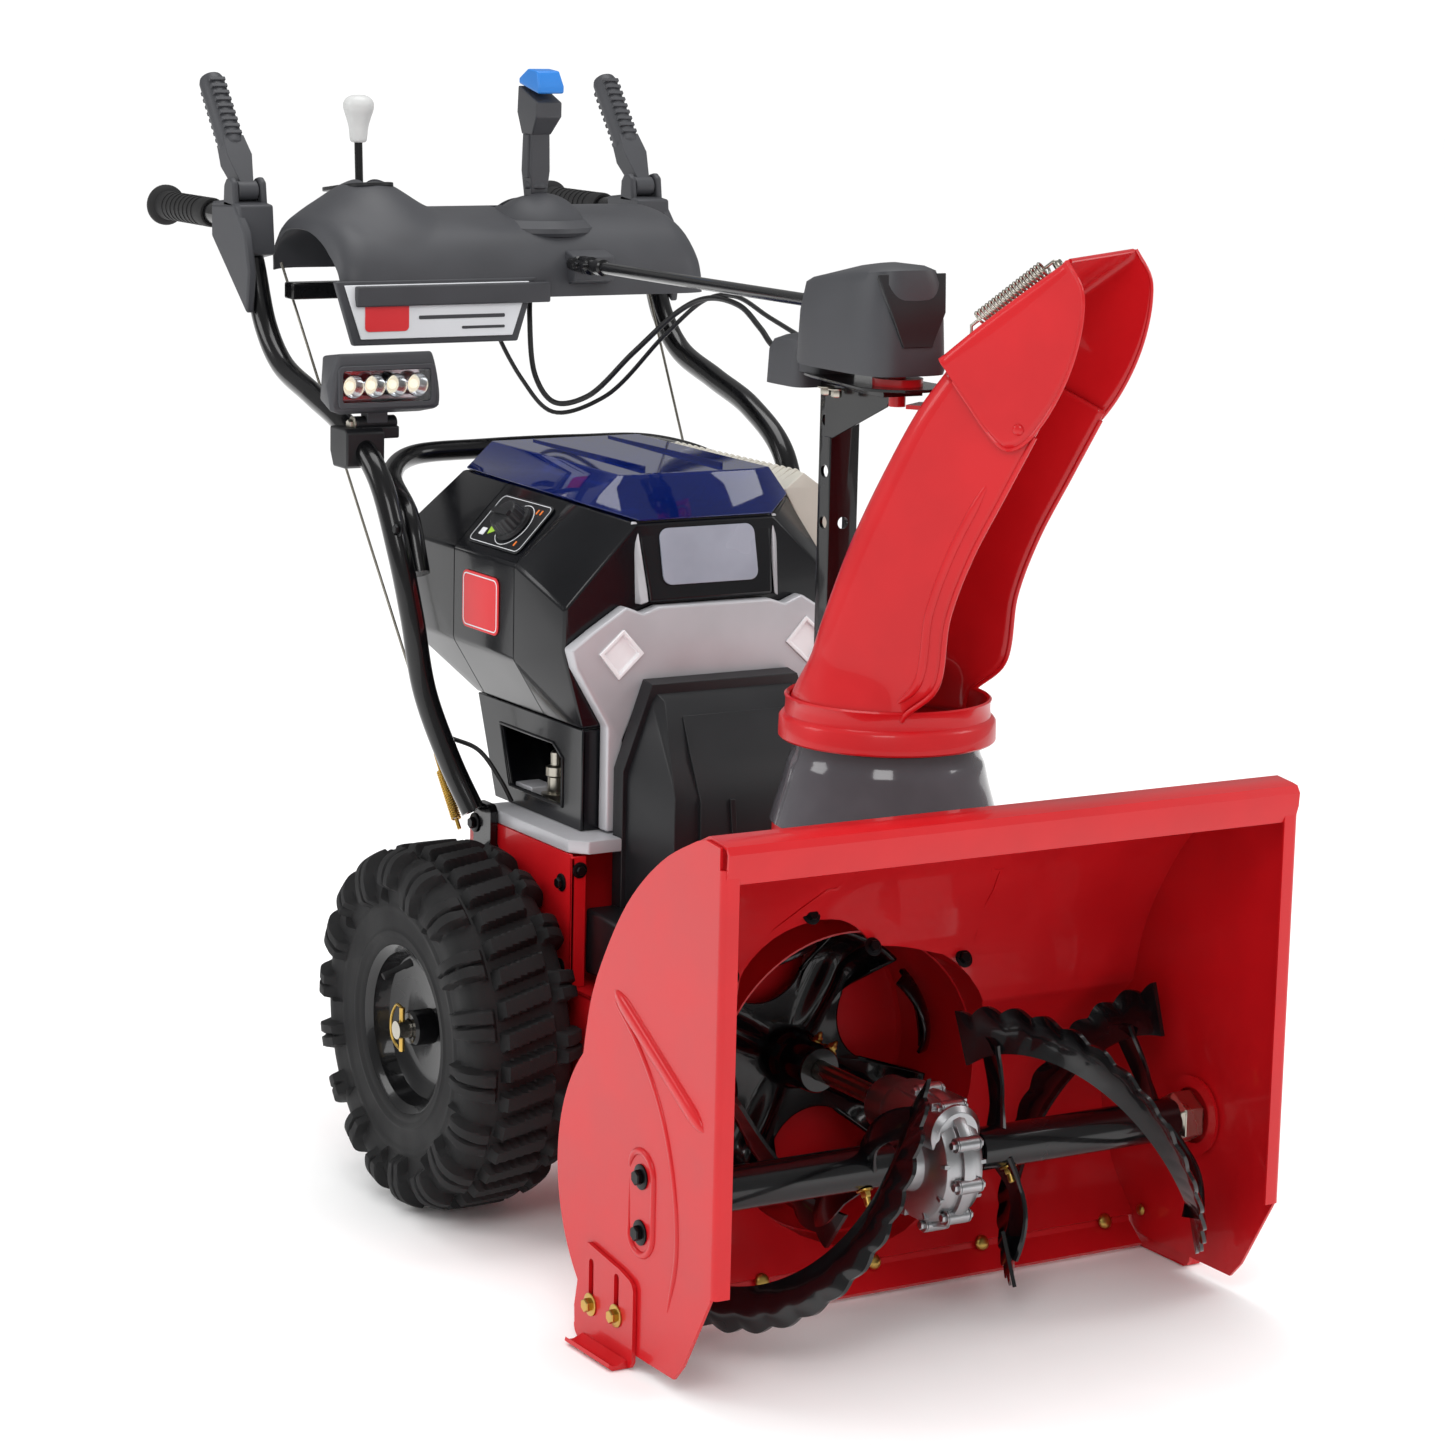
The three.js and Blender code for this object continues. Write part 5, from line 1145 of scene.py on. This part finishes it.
# ---- Dash ---------------------------------------------------------------------------------------
# A long hooded moulding between the tubes, in charcoal plastic: it swells into a dome round the shift gate
# and carries a second, round dome for the stick. An apron hangs from its front edge on the right.
def dash_surface():
    """Rows run across the machine, columns over the hood's section. A swell of 32 mm (cosine-shaped) rises
    about the shift gate, and the ends roll down over the last 30 mm by a quarter circle."""
    section = smooth_path([(296, 908), (299, 930), (306, 950), (328, 975), (368, 992), (420, 998), (462, 990),
        (482, 968), (484, 930)], 60)
    x = np.concatenate([np.linspace(-222, -196, 9), np.linspace(-190, 190, 90), np.linspace(196, 222, 9)])[:,
        None]
    y, z = section[None, :, 0] + 0 * x, section[None, :, 1] + 0 * x
    rho = np.hypot((x + 140) / 74, (y - 424) / 112).clip(0, 1)
    swell = 0.5 + 0.5 * np.cos(np.pi * rho)
    z = z + 32 * swell ** 0.8 * ((z - 930) / 40).clip(0, 1)
    y = y - 12 * swell * ((990 - z) / 60).clip(0, 1)
    end = ((np.abs(x) - 192) / 30).clip(0, 1)
    roll = 1 - np.sqrt(1 - 0.98 * end ** 2)
    z = z - roll * 24 * ((z - 925) / 50).clip(0, 1)
    y = y + roll * 16 * ((400 - y) / 90).clip(0, 1)
    return grid(np.stack([x + 0 * y, y, z], -1))


dash = piece("dash_hood", "machine", [dash_surface()], charcoal_moulding, ["dash_panel"],
    thick=3)
DOME_AT = (50, 384, 955)
carved(dash, [block((-152, -128), (402, 488), (950, 1060)), block((8, 84), (368, 418), (960, 1040))])
half_dome = turned([(62 * np.sin(a), 62 * np.cos(a)) for a in np.linspace(0.24, 1.5, 20)], DOME_AT, "z", 72)
stick_dome = piece("stick_dome", "machine", [half_dome], charcoal_moulding, thick=2.6)
carved(stick_dome, [block((8, 84), (368, 418), (960, 1040))])
skirt = [turned([(971, 66), (975, 69), (980, 68), (985, 60), (988, 56), (984, 55), (975, 62)], (50, 384, 0),
    "z", 72, closed=True)]
piece("stick_collar", "machine", skirt, charcoal_moulding)
gate_plate = [framed(rounded(-140, 443, 52, 104, 20), rounded(-140, 446, 23, 82, 6), 1022, 1026.5, "z")]
gate_plate = [moved(p, turn_about=(1, 0, 0), degrees=-7, centre=(0, 410, 1024)) for p in gate_plate]
piece("shift_gate", "machine", gate_plate, black_moulding, bevel=0.8)
stripe = moved(prism(rounded(-121, 430, 3.4, 46, 1.2), 1026.2, 1027, "z"), turn_about=(1, 0, 0), degrees=-7,
    centre=(0, 410, 1024))
piece("shift_stripe", "machine", [stripe], print_pale)
apron = [prism([(288, 925), (288, 903), (292, 903), (300, 925)], -214, 20)]
apron.append(facets([(x, y, z) for x, z in ((-236, 930), (6, 930), (-214, 861), (-16, 861))
    for y in (296, 304)]))
apron.append(facets([(x, y, z) for x in (46, 96) for y, z in ((282, 952), (282, 926), (306, 958), (306, 918))]))
piece("dash_apron", "machine", apron, charcoal_moulding, bevel=2, segments=3)
piece("badge_plate", "machine", [prism([(-226, 926), (-4, 926), (-24, 868), (-206, 868)], 293.6, 295.8, "y")],
    print_pale, bevel=0.6)
piece("badge_square", "machine", [prism(rounded(-176, 897, 52, 42, 5), 292.6, 293.6, "y")], badge_red,
    bevel=0.3)
piece("badge_line", "machine",
    [prism(rounded(-86, 890, 104, 4, 1.5), 293, 293.6, "y"),
    prism(rounded(-60, 878, 52, 3, 1.2), 293, 293.6, "y")], charcoal_moulding)

# ---- Stick --------------------------------------------------------------------------------------
# The chute stick: a waisted column on a ball, its head shaped to the hand under a bright blue trigger.
SX, SY = 50, 384
column = [facets([(SX + p * x, SY + y, z) for p in (-1, 1)
    for x, y, z in ((9, -9, 1004), (9, 9, 1004), (12, -12, 1040), (12, 12, 1040), (11, -12, 1088),
    (11, 11, 1088))])]
column.append(facets([(SX + p * x, SY + y, z) for p in (-1, 1)
    for x, y, z in ((12, -13, 1080), (12, 12, 1080), (16, -30, 1100), (16, 16, 1104), (16, -30, 1116),
    (16, 14, 1133))]))
column.append(turned([(950, 0), (950, 7), (1012, 7), (1012, 0)], (SX, SY, 0), "z", 24))
column.append(turned([(1020, 0), (1020, 13), (1023, 14), (1028, 12), (1031, 9), (1031, 0)], (SX, SY, 0), "z",
    32))
column += [prism(np.array([(-7, 1032), (7, 1032), (6, 1080), (-6, 1080)]) + (SY, 0), SX + s * 11 - 2.2,
    SX + s * 11 + 2.2) for s in (-1, 1)]
cap = turned([(57.6 * np.sin(a), 57.6 * np.cos(a)) for a in np.linspace(0.42, 1.5, 16)], DOME_AT, "z", 60)
piece("stick_cap", "stick", [cap], charcoal_moulding, thick=1.6)
piece("stick_column", "stick", column, charcoal_moulding, ["stick"], bevel=2, segments=3)
blue_moulding = finish_of("bright_blue_abs", "#2176C7", {"Roughness": 0.34}, grain_mm=1.0, bump=0.08,
    mottle=0.05)
trigger = facets([(SX + p * x, SY + y, z) for p in (-1, 1)
    for x, y, z in ((15, 15, 1135), (15, 15, 1141), (14, -4, 1152), (14, -27, 1150), (16, -35, 1134),
    (16, -35, 1126), (16, -31.5, 1125.5))])
piece("blue_trigger", "trigger", [trigger], blue_moulding, ["stick_trigger"], bevel=3, segments=4)

# ---- Shift lever --------------------------------------------------------------------------------
# A plain steel rod with a tall, pale, softly fluted knob, moulded in hard plastic and pressed on.
FLUTES = 6
foot, top = np.array((-138, 438, 940.0)), np.array((-135, 452, 1068.0))
pale_moulding = finish_of("pale_grey_abs", "#C2C3C2", {"Roughness": 0.38}, grain_mm=1.0, bump=0.08, mottle=0.04)
piece("shift_rod", "shifter",
    [swept(np.linspace(foot, top + (top - foot) * 0.02, 4), circle(4.5, 20), up=(0, 1, 0)),
    turned([(-9, 0), (-9, 10), (9, 10), (9, 0)], foot, "x", 24)],
      black_enamel, ["shift_lever"])
line = smooth_path([(0.4, 7.5), (2, 9), (8, 10), (18, 11.2), (28, 14), (37, 16.8), (43, 16.8), (48, 14),
    (51.4, 8), (52, 1.5)], 44)
a = np.linspace(0, 2 * np.pi, 72, endpoint=False)[None, :]
h, r = line[:, :1], line[:, 1:]
r = r * (1 - 0.06 * (0.5 + 0.5 * np.cos(FLUTES * a)) * np.sin(np.pi * (h / 52).clip(0, 1)))
piece("fluted_knob", "shifter",
    [(np.stack([r * np.cos(a), r * np.sin(a), h + 0 * a], -1).reshape(-1, 3) + top,
    grid(np.zeros((44, 72, 3)), wrap_columns=True, caps=True)[1])],
      pale_moulding, ["shift_knob"], crease=60)

# ---- Headlight ----------------------------------------------------------------------------------
# Four warm diodes in bright cups behind a clear lens, in a faceted charcoal housing clamped to the tube.
LAMP_X = -230
corners = [(d * w, y, z) for d in (-1, 1)
    for w, y, z in ((64, 183, 806), (55, 184, 866), (65, 192, 832), (46, 248, 812), (44, 246, 858),
    (46, 200, 800.5))]
lamp = piece("lamp_housing", "headlight", [facets([(LAMP_X + x, y, z) for x, y, z in corners])],
    charcoal_moulding, ["headlight_housing"], bevel=3.5, segments=3)
carved(lamp, [block((LAMP_X - 52, LAMP_X + 52), (160, 200), (813, 849))])
lamp_trim = [block((LAMP_X - 12, LAMP_X + 12), (204, 220), (789.5, 806)),
    framed(rounded(LAMP_X, 831, 112, 44, 6), rounded(LAMP_X, 831, 102, 34, 4), 180, 184, "y")]
piece("lamp_trim", "headlight", lamp_trim, charcoal_moulding, bevel=0.8)
chrome = finish_of("bright_reflector", "#DADBDD", {"Roughness": 0.12, "Metallic": 1.0}, grain_mm=2, bump=0.01,
    mottle=0.02)
warm_diode = finish_of("warm_diode", "#FFF4DA",
    {"Roughness": 0.4, "Emission Color": (1.0, 0.9, 0.68, 1), "Emission Strength": 1.1}, grain_mm=2, bump=0.01,
    mottle=0.02)
clear_lens = finish_of("clear_lens", "#F2F4F6", {"Roughness": 0.04, "Transmission Weight": 1.0, "IOR": 1.45},
    grain_mm=6, bump=0.01, mottle=0.01)
cups, diodes = [block((LAMP_X - 51, LAMP_X + 51), (197.5, 199.5), (814, 848))], []
for x in (-37, -12.5, 12.5, 37):
    cups.append(turned([(-11, 12), (-6, 10.5), (-1, 6), (0.5, 4), (2, 4), (2, 7), (-5, 11.5), (-10, 12.8)],
        (LAMP_X + x, 196, 831), "y", 32, closed=True))
    diodes.append(turned([(-3.5, 0), (-3, 3), (-1, 4.4), (1.5, 4.6), (1.5, 0)], (LAMP_X + x, 195.4, 831), "y",
        24))
piece("lamp_cups", "headlight", cups, chrome)
piece("lamp_diodes", "headlight", diodes, warm_diode)
piece("lamp_lens", "headlight", [block((LAMP_X - 51, LAMP_X + 51), (182.2, 184.4), (814, 848))], clear_lens,
    bevel=0.6)
bracket = [facets([(x, y, z) for x in (-272, -228)
    for y, z in ((190, 748), (190, 782), (196, 786), (232, 786), (232, 760), (224, 744), (196, 744))]),
           block((-252, -208), (196, 228), (774, 787)),
           turned([(-254, 0), (-254, 8), (-206, 8), (-206, 0)], (0, 212, 789), "x", 24)]
piece("lamp_bracket", "machine", bracket, black_moulding, ["headlight_bracket"], bevel=2,
    segments=3)
piece("lamp_bolts", "machine",
    hexagon((-240, 189.6, 756), (0, -1, 0), 8, 4) + hexagon((-254.4, 212, 789), (-1, 0, 0), 9, 5), bright_zinc)

# ---- Cables and wires ---------------------------------------------------------------------------
# Black-sheathed cables sag behind the dash. A bare wire runs down from each lever to a gold-plated spring.
cable_rubber = finish_of("cable_sheath", "#121213", {"Roughness": 0.45}, grain_mm=2, bump=0.06, mottle=0.1)
route = [(22, 340, 918), (14, 326, 885), (8, 300, 822), (14, 268, 796), (30, 222, 806), (46, 150, 860),
    (56, 70, 912), (54, 10, 930),
         (44, -70, 930), (22, -150, 914), (12, -195, 900), (12, -248, 900)]
piece("deflector_cable_sheath", "machine", [swept(smooth_path(route, 150), circle(3, 14), up=(1, 0, 0.02))],
    cable_rubber, ["deflector_cable"])
loose = [smooth_path([(-40, 330, 916), (-34, 322, 880), (-8, 300, 818), (10, 262, 786), (44, 210, 806),
    (66, 120, 880), (62, 30, 926), (46, -60, 938), (26, -160, 926), (20, -236, 912)], 130),
         smooth_path([(-196, 96, 470), (-176, 70, 460), (-160, 50, 430), (-150, 44, 408)], 40)]
piece("second_cable", "machine", [swept(p, circle(2.4, 12), up=(1, 0, 0.02)) for p in loose], cable_rubber)
gold_spring = finish_of("gold_plated_spring", "#C29A46", {"Roughness": 0.28, "Metallic": 1.0}, grain_mm=1.2,
    bump=0.03, mottle=0.1)
for side, word in ((-1, "right"), (1, "left")):
    head, foot = np.array((side * 226, 455, 938.0)), np.array((side * 188, 92, 378.0))
    way = (foot - head) / np.linalg.norm(foot - head)
    knee = head + (foot - head) * 0.90
    wire = [swept(np.linspace(head, knee, 4), circle(1.5, 10))]
    piece("wire_" + word, "machine", wire, bright_zinc, ["control_cable_" + word])
    t = np.linspace(0, 1, 420)[:, None]
    across = np.cross(way, (1.0, 0, 0))
    across /= np.linalg.norm(across)
    other = np.cross(way, across)
    turns = 2 * np.pi * 21 * t
    coil = knee + (foot - knee) * (0.1 + 0.82 * t) + 4.6 * (np.cos(turns) * across + np.sin(turns) * other)
    ends = [swept(np.linspace(knee - way * 14, knee + (foot - knee) * 0.12, 3), circle(2.6, 12)),
        swept(np.linspace(foot - way * 6, foot + way * 6, 3), circle(2.2, 12))]
    piece("return_spring_" + word, "machine", [swept(coil, circle(1.15, 6), up=way), *ends], gold_spring,
        crease=60)

# ---- Remaining CAD nodes ------------------------------------------------------------------------
# Shafts, pulleys, the belt, the motor and the like keep their own mesh and take the finish of their slot.
CAD_FINISH = {
    "red_enamel": red_enamel, "black_enamel": black_enamel, "cast_metal": cast_aluminium, "steel": bright_zinc,
    "tyre": tyre_rubber,
    "rubber": soft_rubber, "black_plastic": black_moulding, "grey_plastic": charcoal_moulding,
    "silver_plastic": silver_paint,
    "pale_plastic": pale_moulding, "blue_clear": clear_blue, "blue_cap": blue_moulding}
for row in frame["record"]["subparts"]:
    node = frame["nodes"][row["node"]]
    node.data.materials.clear()
    node.data.materials.append(CAD_FINISH[row["material_slot"]])
